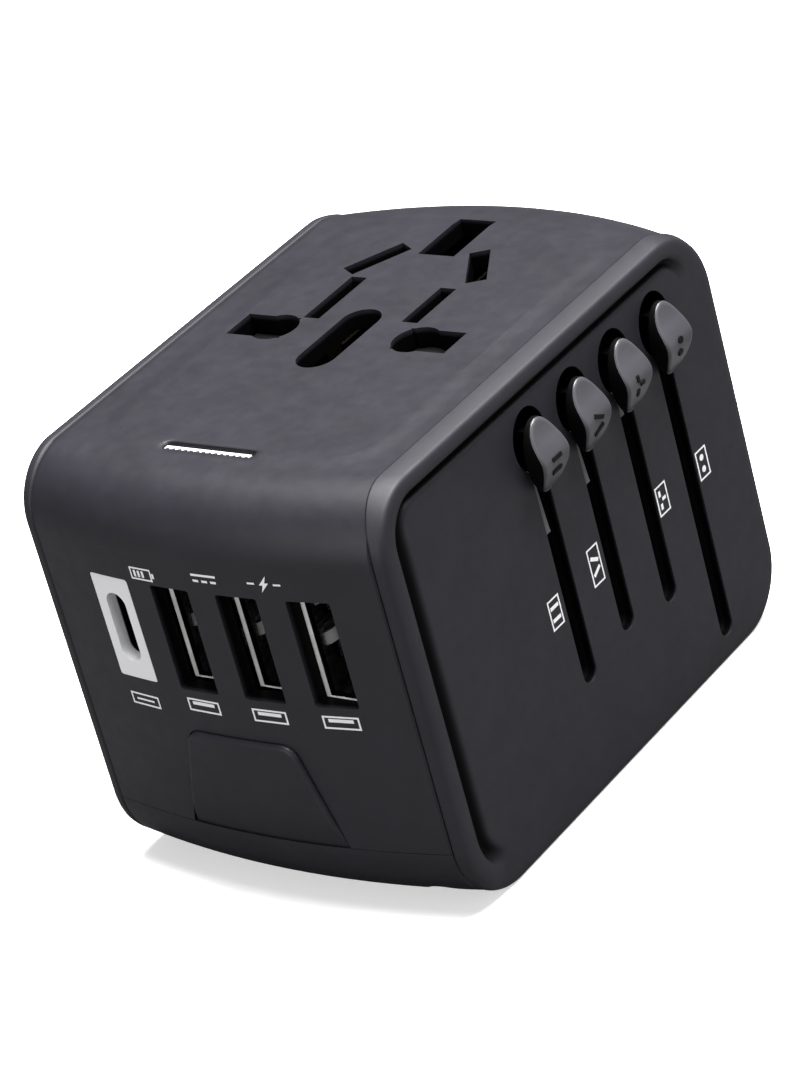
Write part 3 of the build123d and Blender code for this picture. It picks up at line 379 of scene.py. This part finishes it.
# roughness, grain width and depth in millimetres, specular
CASE_FINISH = (0.46, 0.16, 0.006, 0.38)
BEZEL_LOOK = ((0.93, 0.93, 0.95), 0.35, 0.2, 0.003, 0.5, 0.02)
slot_materials = {
    "case_plastic": moulded("case_plastic", CASE_COLOUR, *CASE_FINISH),
    "knob_plastic": moulded("knob_plastic", (0.062, 0.060, 0.069), 0.32, 0.9, 0.003, 0.55),
    "carrier_plastic": moulded("carrier_plastic", (0.004, 0.004, 0.004), 0.6, 0.2, 0.006, 0.15),
    "sleeve_plastic": moulded("sleeve_plastic", (0.012, 0.012, 0.013), 0.4, 0.2, 0.005),
    "pin_metal": metal("pin_metal", (0.72, 0.69, 0.62), 0.22, (1, 1, 0.08)),
    "spring_steel": metal("spring_steel", (0.6, 0.6, 0.62), 0.3),
    "port_metal": metal("port_metal", (0.50, 0.50, 0.52), 0.28, (1, 0.1, 1)),
    "port_plastic": moulded("port_plastic", (0.012, 0.012, 0.013), 0.4, 0.2, 0.005),
    "bezel_plastic": moulded("bezel_plastic", *BEZEL_LOOK),
    "clear_plastic": moulded("clear_plastic", (0.72, 0.73, 0.76), 0.25, 0.3, 0.003, 0.5, 0.04),
    "board": moulded("board", (0.012, 0.075, 0.035), 0.3, 0.6, 0.01),
    "ferrite": moulded("ferrite", (0.03, 0.03, 0.033), 0.6, 0.12, 0.02),
    "copper_wire": metal("copper_wire", (0.62, 0.27, 0.11), 0.3, (1, 1, 12), 0.03),
    "capacitor_can": metal("capacitor_can", (0.7, 0.7, 0.72), 0.3, (1, 0.1, 1)),
    "chip_plastic": moulded("chip_plastic", (0.015, 0.015, 0.016), 0.5, 0.1, 0.01),
    # painted shade: the contact brass is far darker than brass, so the socket holes stay dark
    "contact_brass": metal("contact_brass", (0.022, 0.018, 0.011), 0.62, (0.1, 1, 1)),
    "fuse_metal": metal("fuse_metal", (0.7, 0.68, 0.62), 0.2, (0.1, 1, 1)),
    "screw_steel": metal("screw_steel", (0.30, 0.30, 0.31), 0.35),
}
# painted shade: the housing's plastic goes black inside the USB windows and the socket holes
housing_plastic_painted_shade = moulded("housing_plastic_painted_shade", CASE_COLOUR, *CASE_FINISH)
paint_shade_inside(
    housing_plastic_painted_shade,
    housing_plastic_painted_shade.node_tree.nodes["Principled BSDF"],
    front_depth_mm=0.7,
    top_depth_mm=0.5,
)
soften_pad_edge(housing_plastic_painted_shade, housing_plastic_painted_shade.node_tree.nodes["Principled BSDF"])
# painted shade: the small port's bezel goes black inside its mouth
bezel_white_painted_shade = moulded("bezel_white_painted_shade", *BEZEL_LOOK)
paint_mouth_shade(bezel_white_painted_shade, bezel_white_painted_shade.node_tree.nodes["Principled BSDF"])
# painted shade: the side covers' plastic goes black along the seam, in the grooves and in the slots
cover_plastic_painted_shade = moulded("cover_plastic_painted_shade", CASE_COLOUR, 0.54, *CASE_FINISH[1:])
paint_groove_and_slot_shade(cover_plastic_painted_shade, cover_plastic_painted_shade.node_tree.nodes["Principled BSDF"])
shadow_black = moulded("shadow_black", (0.0016, 0.0016, 0.0017), 0.7, 0.2, 0.004, 0.06)
print_white = moulded("print_white", (0.94, 0.94, 0.95), 0.5, 0.12, 0.002, 0.4, 0.03)
lip_metal = metal("lip_metal", (0.96, 0.95, 0.93), 0.42, (1, 1, 0.1), 0.002, 0.0)
for row in frame["record"]["subparts"]:
    mesh = nodes[row["node"]].data
    mesh.materials.clear()
    mesh.materials.append(slot_materials[row["material_slot"]])
nodes["main_housing"].data.materials[0] = housing_plastic_painted_shade
nodes["usb_c_bezel"].data.materials[0] = bezel_white_painted_shade
# painted shade: the small port's metal shell takes the shadow black
nodes["usb_c_shell"].data.materials[0] = shadow_black


# ---- Pieces built over the CAD ----
def smooth_steps(value, start, end):
    """0 before start, 1 after end, and a soft curve between them."""
    share = min(max((value - start) / (end - start), 0.0), 1.0)
    return share * share * (3 - 2 * share)


def front_at(x):
    """Y of the bowed front surface at x, in millimetres."""
    return BODY_FRONT + FRONT_ARC - math.sqrt(FRONT_ARC**2 - x**2)


def back_at(x):
    return -BODY_FRONT - BACK_ARC + math.sqrt(BACK_ARC**2 - x**2)


def new_piece(name, vertices, faces, slot, body, sharp_angle=40):
    return finish_piece(name, solid_mesh(name, vertices, faces), slot, body, sharp_angle)


def solid_mesh(name, vertices, faces):
    """A mesh from millimetres, with its normals turned outwards."""
    mesh = bpy.data.meshes.new(name)
    mesh.from_pydata([Vector(v) * MM for v in vertices], [], faces)
    tidy = bmesh.new()
    tidy.from_mesh(mesh)
    bmesh.ops.recalc_face_normals(tidy, faces=tidy.faces)
    tidy.to_mesh(mesh)
    tidy.free()
    return mesh


def finish_piece(name, mesh, slot, body, sharp_angle):
    """A piece from a mesh, smooth but for its sharp edges, with a slot's material, riding on a body."""
    mesh.polygons.foreach_set("use_smooth", [True] * len(mesh.polygons))
    mesh.set_sharp_from_angle(angle=math.radians(sharp_angle))
    mesh.materials.clear()
    mesh.materials.append(slot_materials[slot])
    piece = bpy.data.objects.new(name, mesh)
    bpy.context.scene.collection.objects.link(piece)
    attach(piece, body)
    return piece


def loft(rings):
    """Vertices and faces of closed rings joined in order, with both ends capped."""
    count = len(rings[0])
    vertices = [point for ring in rings for point in ring]
    faces = []
    for level in range(len(rings) - 1):
        for i in range(count):
            j = (i + 1) % count
            low = level * count
            faces.append((low + i, low + j, low + count + j, low + count + i))
    faces.append(tuple(reversed(range(count))))
    faces.append(tuple(range(len(vertices) - count, len(vertices))))
    return vertices, faces


def outline_stations():
    """Places round the side outline, as (side, along, rim), from the bottom's back end.

    Along is a share of a straight side or the degrees turned in a corner, and rim is how full the rim is.
    """
    stations = []
    for i in range(STRAIGHT_STEPS):
        stations.append(("bottom", 1 - i / STRAIGHT_STEPS, 0.0))
    for i in range(CORNER_STEPS):
        turn = 90 * i / CORNER_STEPS
        stations.append(("bottom_front", turn, smooth_steps(turn, 18, 62)))
    for i in range(STRAIGHT_STEPS):
        stations.append(("front", i / STRAIGHT_STEPS, 1.0))
    for i in range(CORNER_STEPS):
        stations.append(("top_front", 90 * i / CORNER_STEPS, 1.0))
    for i in range(STRAIGHT_STEPS):
        stations.append(("top", i / STRAIGHT_STEPS, 1.0))
    for i in range(CORNER_STEPS):
        turn = 90 * i / CORNER_STEPS
        stations.append(("top_back", turn, 1 - smooth_steps(turn, 5, 55)))
    for i in range(STRAIGHT_STEPS):
        stations.append(("back", i / STRAIGHT_STEPS, 0.0))
    for i in range(CORNER_STEPS):
        stations.append(("bottom_back", 90 * i / CORNER_STEPS, 0.0))
    return stations


def outline_point(station, x, inset):
    """Point of the side outline at a station, at x, moved inwards by inset. Millimetres."""
    side, along = station[:2]
    front = front_at(x) + inset
    back = back_at(x) - inset
    low = inset
    high = BODY_TOP - inset
    radius = {name: value - inset for name, value in OUTLINE_RADII.items()}
    turn = math.radians(along)
    if side == "bottom":
        start, end = front + radius["bottom_front"], back - radius["bottom_back"]
        return (x, start + (end - start) * along, low)
    if side == "front":
        start, end = low + radius["bottom_front"], high - radius["top_front"]
        return (x, front, start + (end - start) * along)
    if side == "top":
        start, end = front + radius["top_front"], back - radius["top_back"]
        return (x, start + (end - start) * along, high)
    if side == "back":
        start, end = high - radius["top_back"], low + radius["bottom_back"]
        return (x, back, start + (end - start) * along)
    bend = radius[side]
    if side == "bottom_front":
        return (x, front + bend - bend * math.sin(turn), low + bend - bend * math.cos(turn))
    if side == "top_front":
        return (x, front + bend - bend * math.cos(turn), high - bend + bend * math.sin(turn))
    if side == "top_back":
        return (x, back - bend + bend * math.sin(turn), high - bend + bend * math.cos(turn))
    return (x, back - bend + bend * math.cos(turn), low + bend - bend * math.sin(turn))


def top_share(side, along):
    """How far a place on the outline belongs to the top, from 0 to 1."""
    if side == "top_front":
        return smooth_steps(along, 0, 90)
    return 1.0 if side in ("top", "top_back") else 0.0


def cover_mesh(top_band):
    """A side cover without slots: soft rim and groove on top and front, plain elsewhere.

    The rim is a broad band along the top where top_band is 1, and the same as up the front where it is 0.
    Returns its vertices, its faces, and how far painted shade blackens each vertex, from 0 to 1.
    """
    stations = outline_stations()
    rings = [[outline_point(station, SEAM_X, COVER_BACK_INSET) for station in stations]]
    groove_shade = [0.0] * len(stations)
    for front_inset, front_x, top_inset, top_x, plain_x, dark in COVER_PROFILE:
        over_housing = top_x < SEAM_X
        ring = []
        for station in stations:
            side, along, rim = station
            on_top = top_band * top_share(side, along)
            rim_x = front_x + (top_x - front_x) * on_top
            x = plain_x + (rim_x - plain_x) * rim
            # the band rises clear of the housing before it reaches over it
            raised = min(4 * on_top * rim, 1.0) if over_housing else on_top * rim
            ring.append(outline_point(station, x, front_inset + (top_inset - front_inset) * raised))
            groove_shade.append(dark * rim * (on_top if over_housing else 1.0))
        rings.append(ring)
    return *loft(rings), groove_shade


def prism(outline, low_x, high_x):
    """Vertices and faces of a flat (y, z) outline between two x."""
    return loft([[(x, y, z) for y, z in outline] for x in (low_x, high_x)])


def slot_outline(y, bottom):
    """Keyhole and slot as one outline."""
    half = SLOT_WIDTH / 2
    points = []
    join = math.asin(half / KEYHOLE[0])
    for i in range(KEYHOLE_STEPS + 1):
        turn = join + (2 * math.pi - 2 * join) * i / KEYHOLE_STEPS
        points.append((y - KEYHOLE[0] * math.sin(turn), KEYHOLE_Z - KEYHOLE[1] * math.cos(turn)))
    for i in range(SLOT_END_STEPS + 1):
        turn = math.pi * i / SLOT_END_STEPS
        points.append((y + half * math.cos(turn), bottom + half - half * math.sin(turn)))
    return points


def cut(piece_mesh, cutters):
    """The mesh with the cutters' meshes taken out of it."""
    base = bpy.data.objects.new("cover_blank", piece_mesh)
    bpy.context.scene.collection.objects.link(base)
    helpers = [base]
    for vertices, faces in cutters:
        tool = bpy.data.objects.new("cutter", solid_mesh("cutter", vertices, faces))
        bpy.context.scene.collection.objects.link(tool)
        helpers.append(tool)
        step = base.modifiers.new("slot", "BOOLEAN")
        step.operation = "DIFFERENCE"
        step.solver = "EXACT"
        step.object = tool
    shaped = base.evaluated_get(bpy.context.evaluated_depsgraph_get())
    result = bpy.data.meshes.new_from_object(shaped)
    for helper in helpers:
        bpy.data.objects.remove(helper)
    return result


def side_covers():
    vertices, faces, groove_shade = cover_mesh(1.0)
    cutters = [
        prism(slot_outline(y, bottom), GUIDE_X - 1, PANEL_X + 2) for y, bottom in zip(SLOT_YS, SLOT_BOTTOMS)
    ]
    blank = solid_mesh("cover_blank", vertices, faces)
    # painted shade: the groove attribute tells the covers' plastic where to go black
    blank.attributes.new("groove", "FLOAT", "POINT").data.foreach_set("value", groove_shade)
    slotted = cut(blank, cutters)
    cover = finish_piece("slider_cover_shape", slotted, "case_plastic", "case", 40)
    cover.data.materials[0] = cover_plastic_painted_shade
    edge = cover.modifiers.new("slot_edges", "BEVEL")
    edge.width = 0.12 * MM
    edge.segments = 2
    edge.limit_method = "ANGLE"
    edge.angle_limit = math.radians(60)
    edge.harden_normals = True
    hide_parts("slider_side_cover")
    # black guides behind the slots
    low_y, high_y = GUIDES_SPAN_Y
    low_z, high_z = GUIDES_SPAN_Z
    guide_outline = [(low_y, low_z), (high_y, low_z), (high_y, high_z), (low_y, high_z)]
    guides = cut(solid_mesh("slot_guides", *prism(guide_outline, GUIDE_X, SEAM_X + 0.02)), cutters)
    finish_piece("slot_guides", guides, "carrier_plastic", "case", 40)
    vertices, faces, groove_shade = cover_mesh(0.0)
    mirrored = [(-x, y, z) for x, y, z in vertices]
    plain = new_piece("plain_cover_shape", mirrored, faces, "case_plastic", "case")
    # painted shade: the groove attribute tells the covers' plastic where to go black
    plain.data.attributes.new("groove", "FLOAT", "POINT").data.foreach_set("value", groove_shade)
    plain.data.materials[0] = cover_plastic_painted_shade
    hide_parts("plain_side_cover")


def slot_ledges():
    """A ledge along one side of each of the first three slots, flush at its lower end."""
    for name, y, bottom in zip(SLIDERS, SLOT_YS, LEDGE_BOTTOMS):
        left = y - SLOT_WIDTH / 2 - 0.02
        right = left + LEDGE_WIDTH
        section = [
            (SEAM_X, bottom),
            (PANEL_X - 0.02, bottom),
            (PANEL_X - 0.08, bottom + 0.3),
            (23.0, LEDGE_TOP - 0.3),
            (22.85, LEDGE_TOP),
            (SEAM_X, LEDGE_TOP),
        ]
        softened = [(x if x == SEAM_X else x - LEDGE_SOFTNESS, z) for x, z in section]
        rings = [
            [(x, left, z) for x, z in section],
            [(x, right - 0.12, z) for x, z in section],
            [(x, right, z) for x, z in softened],
        ]
        new_piece(f"{name}_slot_ledge", *loft(rings), "knob_plastic", "case")


def knob_face(height):
    """X of a knob's face at a height above its centre, on a smooth curve, in millimetres."""
    last = len(KNOB_PROFILE) - 1
    place = min(max((height + KNOB_REACH) / (2 * KNOB_REACH), 0.0), 0.9999) * last
    step = int(place)
    t = place - step
    before, start, end, after = (KNOB_PROFILE[min(max(step + k, 0), last)] for k in (-1, 0, 1, 2))
    bend = (end - before) * t + (2 * before - 5 * start + 4 * end - after) * t**2
    return start + 0.5 * (bend + (3 * start - before - 3 * end + after) * t**3)


def add_part(vertices, faces, part):
    """Another closed form's vertices and faces added to a piece's lists."""
    part_vertices, part_faces = part
    start = len(vertices)
    vertices += part_vertices
    faces += [tuple(start + i for i in face) for face in part_faces]


def knob_rings(y):
    """Rings of a knob, from its underside, up its flank and in over its face."""
    turns = [2 * math.pi * i / KNOB_AROUND for i in range(KNOB_AROUND)]
    rings = [[], []]
    for turn in turns:
        out_y, out_z = KNOB[0] * math.cos(turn), KNOB[1] * math.sin(turn)
        rings[0].append((KNOB_UNDER_X, y + out_y * 0.94, KNOB_Z + out_z * 0.96))
        rings[1].append((KNOB_UNDER_X + 0.15, y + out_y, KNOB_Z + out_z))
    for size in KNOB_RINGS:
        reach = max(size - KNOB_EDGE_START, 0.0) / (1 - KNOB_EDGE_START)
        drop = KNOB_EDGE_DROP * (1 - math.sqrt(max(1 - reach * reach, 0.0)))
        ring = []
        for turn in turns:
            dy, dz = size * KNOB[0] * math.cos(turn), size * KNOB[1] * math.sin(turn)
            hollow = KNOB_HOLLOW * (1 - (dy / KNOB[0]) ** 2)
            x = max(knob_face(dz) - drop - hollow, KNOB_UNDER_X + 0.25)
            ring.append((x, y + dy, KNOB_Z + dz))
        rings.append(ring)
    return rings


def knobs():
    """The four thumb pieces with their necks: a grey face on a flank and neck painted black as painted shade.
    """
    for name, y, neck_bottom in zip(SLIDERS, SLOT_YS, NECK_BOTTOMS):
        vertices, faces = loft(knob_rings(y))
        neck_low_y = y + NECK_OFFSET - NECK_WIDTH / 2
        neck_high_y = y + NECK_OFFSET + NECK_WIDTH / 2
        neck = [
            (neck_low_y, neck_bottom),
            (neck_high_y, neck_bottom),
            (neck_high_y, NECK_TOP),
            (neck_low_y, NECK_TOP),
        ]
        add_part(vertices, faces, prism(neck, NECK_INNER_X, KNOB_UNDER_X + 0.1))
        knob = new_piece(f"{name}_knob_shape", vertices, faces, "knob_plastic", f"{name}_thumb", 35)
        # painted shade: the flank, the underside and the neck take the shadow black, the face keeps the grey
        knob.data.materials.append(shadow_black)
        face_start = KNOB_AROUND * FLANK_RINGS
        face_end = KNOB_AROUND * (len(KNOB_RINGS) + 1)
        face_cap = face_end + 1
        for number, polygon in enumerate(knob.data.polygons):
            on_face = face_start <= number < face_end or number == face_cap
            polygon.material_index = 0 if on_face else 1
        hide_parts(f"{name}_knob")


def bar(u, v, width, height, turn=0.0):
    """Corners of a rectangle in a flat drawing."""
    angle = math.radians(turn)
    along = Vector((math.cos(angle), math.sin(angle))) * width / 2
    across = Vector((-math.sin(angle), math.cos(angle))) * height / 2
    middle = Vector((u, v))
    return [
        middle - along - across,
        middle + along - across,
        middle + along + across,
        middle - along + across,
    ]


def dot(u, v, radius):
    return [
        Vector((u + radius * math.cos(i * math.pi / 10), v + radius * math.sin(i * math.pi / 10)))
        for i in range(20)
    ]


def frame_of(u, v, width, height, line):
    """Four bars round a rectangle."""
    return [
        bar(u, v - height / 2 + line / 2, width, line),
        bar(u, v + height / 2 - line / 2, width, line),
        bar(u - width / 2 + line / 2, v, line, height - 2 * line),
        bar(u + width / 2 - line / 2, v, line, height - 2 * line),
    ]


def pin_marks(name, size):
    """Generic marks for a plug's pins, drawn sideways: bars, slanted bars, blocks or dots."""
    if name == "us":
        return [bar(0, -0.24 * size, 0.5 * size, 0.15 * size), bar(0, 0.24 * size, 0.5 * size, 0.15 * size)]
    if name == "aus":
        return [
            bar(0, -0.24 * size, 0.5 * size, 0.15 * size, 28),
            bar(0, 0.24 * size, 0.5 * size, 0.15 * size, -28),
        ]
    if name == "uk":
        return [
            bar(-0.12 * size, -0.26 * size, 0.14 * size, 0.24 * size),
            bar(-0.12 * size, 0.26 * size, 0.14 * size, 0.24 * size),
            bar(0.1 * size, 0, 0.24 * size, 0.14 * size),
        ]
    return [dot(0, -0.24 * size, 0.13 * size), dot(0, 0.24 * size, 0.13 * size)]


def on_panel(u, v):
    return (PANEL_X + 0.02, u, v)


def on_front(u, v):
    return (u, front_at(u) - 0.03, v)


def printed(name, shapes, place):
    """Flat printed shapes, each a list of (u, v), put on a surface by place(u, v)."""
    vertices = []
    faces = []
    for shape in shapes:
        faces.append(tuple(range(len(vertices), len(vertices) + len(shape))))
        vertices += [place(u, v) for u, v in shape]
    mesh = bpy.data.meshes.new(name)
    mesh.from_pydata([Vector(v) * MM for v in vertices], [], faces)
    mesh.materials.append(print_white)
    piece = bpy.data.objects.new(name, mesh)
    bpy.context.scene.collection.objects.link(piece)
    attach(piece, "case")


def printed_marks():
    """Pin marks beside the slots, and port marks above and below the ports."""
    for name, (y, z) in zip(SLIDERS, PANEL_MARKS):
        shapes = [[(u + y, v + z) for u, v in shape] for shape in pin_marks(name, 3.0)]
        shapes += frame_of(y, z, 2.2, 4.6 if name == "aus" else 3.6, PRINT_LINE)
        printed(f"{name}_print", shapes, on_panel)
    battery_x, battery_z = -7.0, 40.4
    battery = frame_of(battery_x, battery_z, 3.0, 1.5, 0.2)
    battery += [bar(battery_x + 1.7, battery_z, 0.3, 0.6)]
    battery += [bar(battery_x - 0.85 + 0.55 * i, battery_z, 0.32, 0.8) for i in range(3)]
    printed("battery_print", battery, on_front)
    current_x, current_z = 1.8, 41.0
    current = [bar(current_x, current_z + 0.4, 3.2, 0.28)]
    current += [bar(current_x - 1.15 + 1.15 * i, current_z - 0.3, 0.75, 0.28) for i in range(3)]
    printed("current_print", current, on_front)
    bolt_x, bolt_z = 9.4, 41.1
    bolt = [
        [(bolt_x + 0.45, bolt_z + 1.0), (bolt_x - 0.6, bolt_z - 0.15), (bolt_x + 0.05, bolt_z - 0.15)],
        [(bolt_x - 0.45, bolt_z - 1.0), (bolt_x + 0.6, bolt_z + 0.15), (bolt_x - 0.05, bolt_z + 0.15)],
    ]
    bolt += [bar(bolt_x - 1.6, bolt_z, 0.9, 0.22), bar(bolt_x + 1.6, bolt_z, 0.9, 0.22)]
    printed("bolt_print", bolt, on_front)
    round_port = frame_of(ROUND_PORT_X, 23.7, 4.2, 1.5, PRINT_LINE) + [bar(ROUND_PORT_X, 23.7, 2.6, 0.24)]
    printed("round_port_print", round_port, on_front)
    for number, x in enumerate(PORT_XS, 1):
        port = frame_of(x, 24.6, 4.4, 1.6, PRINT_LINE) + [bar(x, 24.85, 3.0, 0.42)]
        printed(f"port_print_{number}", port, on_front)


def knob_marks():
    """Raised pin marks on the thumb faces."""
    for name, slot_y in zip(SLIDERS, SLOT_YS):
        vertices = []
        faces = []
        for shape in pin_marks(name, 3.3):
            rings = [[], []]
            for u, v in shape:
                height = v - MARK_DROP
                hollow = KNOB_HOLLOW * (1 - (u / KNOB[0]) ** 2)
                x = knob_face(height) - hollow
                rings[0].append((x - 0.3, slot_y + u, KNOB_Z + height))
                rings[1].append((x + 0.14, slot_y + u, KNOB_Z + height))
            add_part(vertices, faces, loft(rings))
        mark = new_piece(f"{name}_knob_mark", vertices, faces, "knob_plastic", f"{name}_thumb")
        # painted shade: the raised marks take the black carrier plastic in place of the shade round their
        # edges
        mark.data.materials[0] = slot_materials["carrier_plastic"]


def rectangle_ring(x, z, width, height, y):
    return [
        (x - width / 2, y, z - height / 2),
        (x + width / 2, y, z - height / 2),
        (x + width / 2, y, z + height / 2),
        (x - width / 2, y, z + height / 2),
    ]


def port_details():
    """Bright front lips and contact leaves of the USB-A shells."""
    for number, x in enumerate(PORT_XS, 1):
        rings = [
            rectangle_ring(x, PORT_Z, 5.14, 12.74, LIP_BACK_Y),
            rectangle_ring(x, PORT_Z, 5.14, 12.74, LIP_FRONT_Y + 0.1),
            rectangle_ring(x, PORT_Z, 4.98, 12.68, LIP_FRONT_Y),
            rectangle_ring(x, PORT_Z, 4.2, 12.44, LIP_FRONT_Y),
            rectangle_ring(x, PORT_Z, 4.0, 12.36, LIP_FRONT_Y + 0.1),
            rectangle_ring(x, PORT_Z, 4.0, 12.36, LIP_BACK_Y),
        ]
        vertices = [point for ring in rings for point in ring]
        faces = []
        for level in range(len(rings)):
            after = (level + 1) % len(rings)
            for i in range(4):
                j = (i + 1) % 4
                faces.append((4 * level + i, 4 * level + j, 4 * after + j, 4 * after + i))
        lip = new_piece(f"usb_a_lip_{number}", vertices, faces, "port_metal", "case")
        lip.data.materials[0] = lip_metal
        lip.data.materials.append(shadow_black)
        # painted shade: the outer wall, the inner wall and the back take the shadow black
        for face_number, polygon in enumerate(lip.data.polygons):
            if face_number // 4 in (0, 4, 5):
                polygon.material_index = 1
        # bent leaves that stand in from the shell's left wall
        leaf_vertices = []
        leaf_faces = []
        for middle in LEAF_MIDDLES:
            rings = []
            for i in range(LEAF_STEPS + 1):
                share = i / LEAF_STEPS
                y = LEAF_FRONT_Y + LEAF_LENGTH * share
                left = x - 2.5 + LEAF_REACH * math.sin(math.pi * share) ** 0.8
                right = left + LEAF_THICKNESS
                low = PORT_Z + middle - LEAF_HALF_HEIGHT
                high = PORT_Z + middle + LEAF_HALF_HEIGHT
                rings.append([(left, y, low), (right, y, low), (right, y, high), (left, y, high)])
            add_part(leaf_vertices, leaf_faces, loft(rings))
        leaf = new_piece(f"usb_a_leaves_{number}", leaf_vertices, leaf_faces, "port_metal", "case")
        leaf.data.materials[0] = lip_metal


side_covers()
slot_ledges()
knobs()
printed_marks()
knob_marks()
port_details()


# ---- Floor, light and camera ----
def emission_world(seen, lighting):
    """A plain white surround, dimmer as a light source than as a backdrop."""
    world = bpy.data.worlds.new("studio")
    world.use_nodes = True
    tree = world.node_tree
    background = tree.nodes["Background"]
    rays = tree.nodes.new("ShaderNodeLightPath")
    level = tree.nodes.new("ShaderNodeMapRange")
    level.inputs["To Min"].default_value = lighting
    level.inputs["To Max"].default_value = seen
    tree.links.new(rays.outputs["Is Camera Ray"], level.inputs["Value"])
    tree.links.new(level.outputs["Result"], background.inputs["Strength"])
    background.inputs["Color"].default_value = (1, 1, 1, 1)
    bpy.context.scene.world = world


def studio_floor(bounce, glow):
    """A wide pale floor, lifted towards white for the camera, that throws little light back at the object."""
    half = 3.0
    mesh = bpy.data.meshes.new("floor")
    corners = [(-half, -half, 0), (half, -half, 0), (half, half, 0), (-half, half, 0)]
    mesh.from_pydata(corners, [], [(0, 1, 2, 3)])
    floor = bpy.data.objects.new("floor", mesh)
    floor.location.z = cad_box[0].z - 0.1 * MM
    bpy.context.scene.collection.objects.link(floor)
    material, shader = start_material("floor_paper")
    share = spread(material, noise_of(material, 40.0), 0.0, 1.0)
    paper = blend_colours(material, share, (0.88, 0.88, 0.88), (0.90, 0.90, 0.90))
    rays = add_node(material, "ShaderNodeLightPath")
    colour = blend_colours(material, rays.outputs["Is Camera Ray"], (bounce, bounce, bounce), paper)
    link(material, colour, shader.inputs["Base Color"])
    shader.inputs["Roughness"].default_value = 0.9
    shader.inputs["Specular IOR Level"].default_value = 0.1
    shader.inputs["Emission Color"].default_value = (1, 1, 1, 1)
    lift = spread(material, rays.outputs["Is Camera Ray"], 0.0, glow, 0.0, 1.0)
    link(material, lift, shader.inputs["Emission Strength"])
    mesh.materials.append(material)


def soft_light(name, place, aim, width, height, power):
    """A rectangular studio light at a place, turned to an aim point."""
    light = bpy.data.lights.new(name, "AREA")
    light.shape = "RECTANGLE"
    light.size = width
    light.size_y = height
    light.energy = power
    lamp = bpy.data.objects.new(name, light)
    lamp.location = place
    lamp.rotation_mode = "QUATERNION"
    lamp.rotation_quaternion = (Vector(aim) - Vector(place)).to_track_quat("-Z", "Y")
    bpy.context.scene.collection.objects.link(lamp)


def photo_camera():
    """A long lens from the front right, above the object, rolled as in the photograph."""
    azimuth = math.radians(41.98)
    elevation = math.radians(27.77)
    roll = math.radians(-15.51)
    distance = 0.4633
    aim = Vector((-1.4, -1.9, 24.3)) * MM
    back = Vector((
        math.sin(azimuth) * math.cos(elevation),
        -math.cos(azimuth) * math.cos(elevation),
        math.sin(elevation),
    ))
    level = Vector((math.cos(azimuth), math.sin(azimuth), 0))
    right = level * math.cos(roll) + back.cross(level) * math.sin(roll)
    up = back.cross(right)
    camera = bpy.data.objects.new("camera", bpy.data.cameras.new("camera"))
    camera.matrix_world = Matrix((right, up, back)).transposed().to_4x4()
    camera.location = aim + back * distance
    camera.data.lens = 139.18
    camera.data.sensor_width = 36.0
    camera.data.clip_start = 0.01
    camera.data.clip_end = 20.0
    bpy.context.scene.collection.objects.link(camera)
    bpy.context.scene.camera = camera


emission_world(seen=1.0, lighting=0.15)
studio_floor(bounce=0.12, glow=0.5)
middle = (0, 0, 0.025)
soft_light("top_light", (0.10, 0.15, 0.75), middle, 0.6, 0.6, 25.5)
soft_light("side_light", (0.70, -0.15, 0.40), middle, 0.4, 0.5, 0.8)
soft_light("front_light", (-0.02, -0.75, 0.20), middle, 0.5, 0.5, 2.3)
photo_camera()
bpy.context.scene.view_settings.view_transform = "Standard"
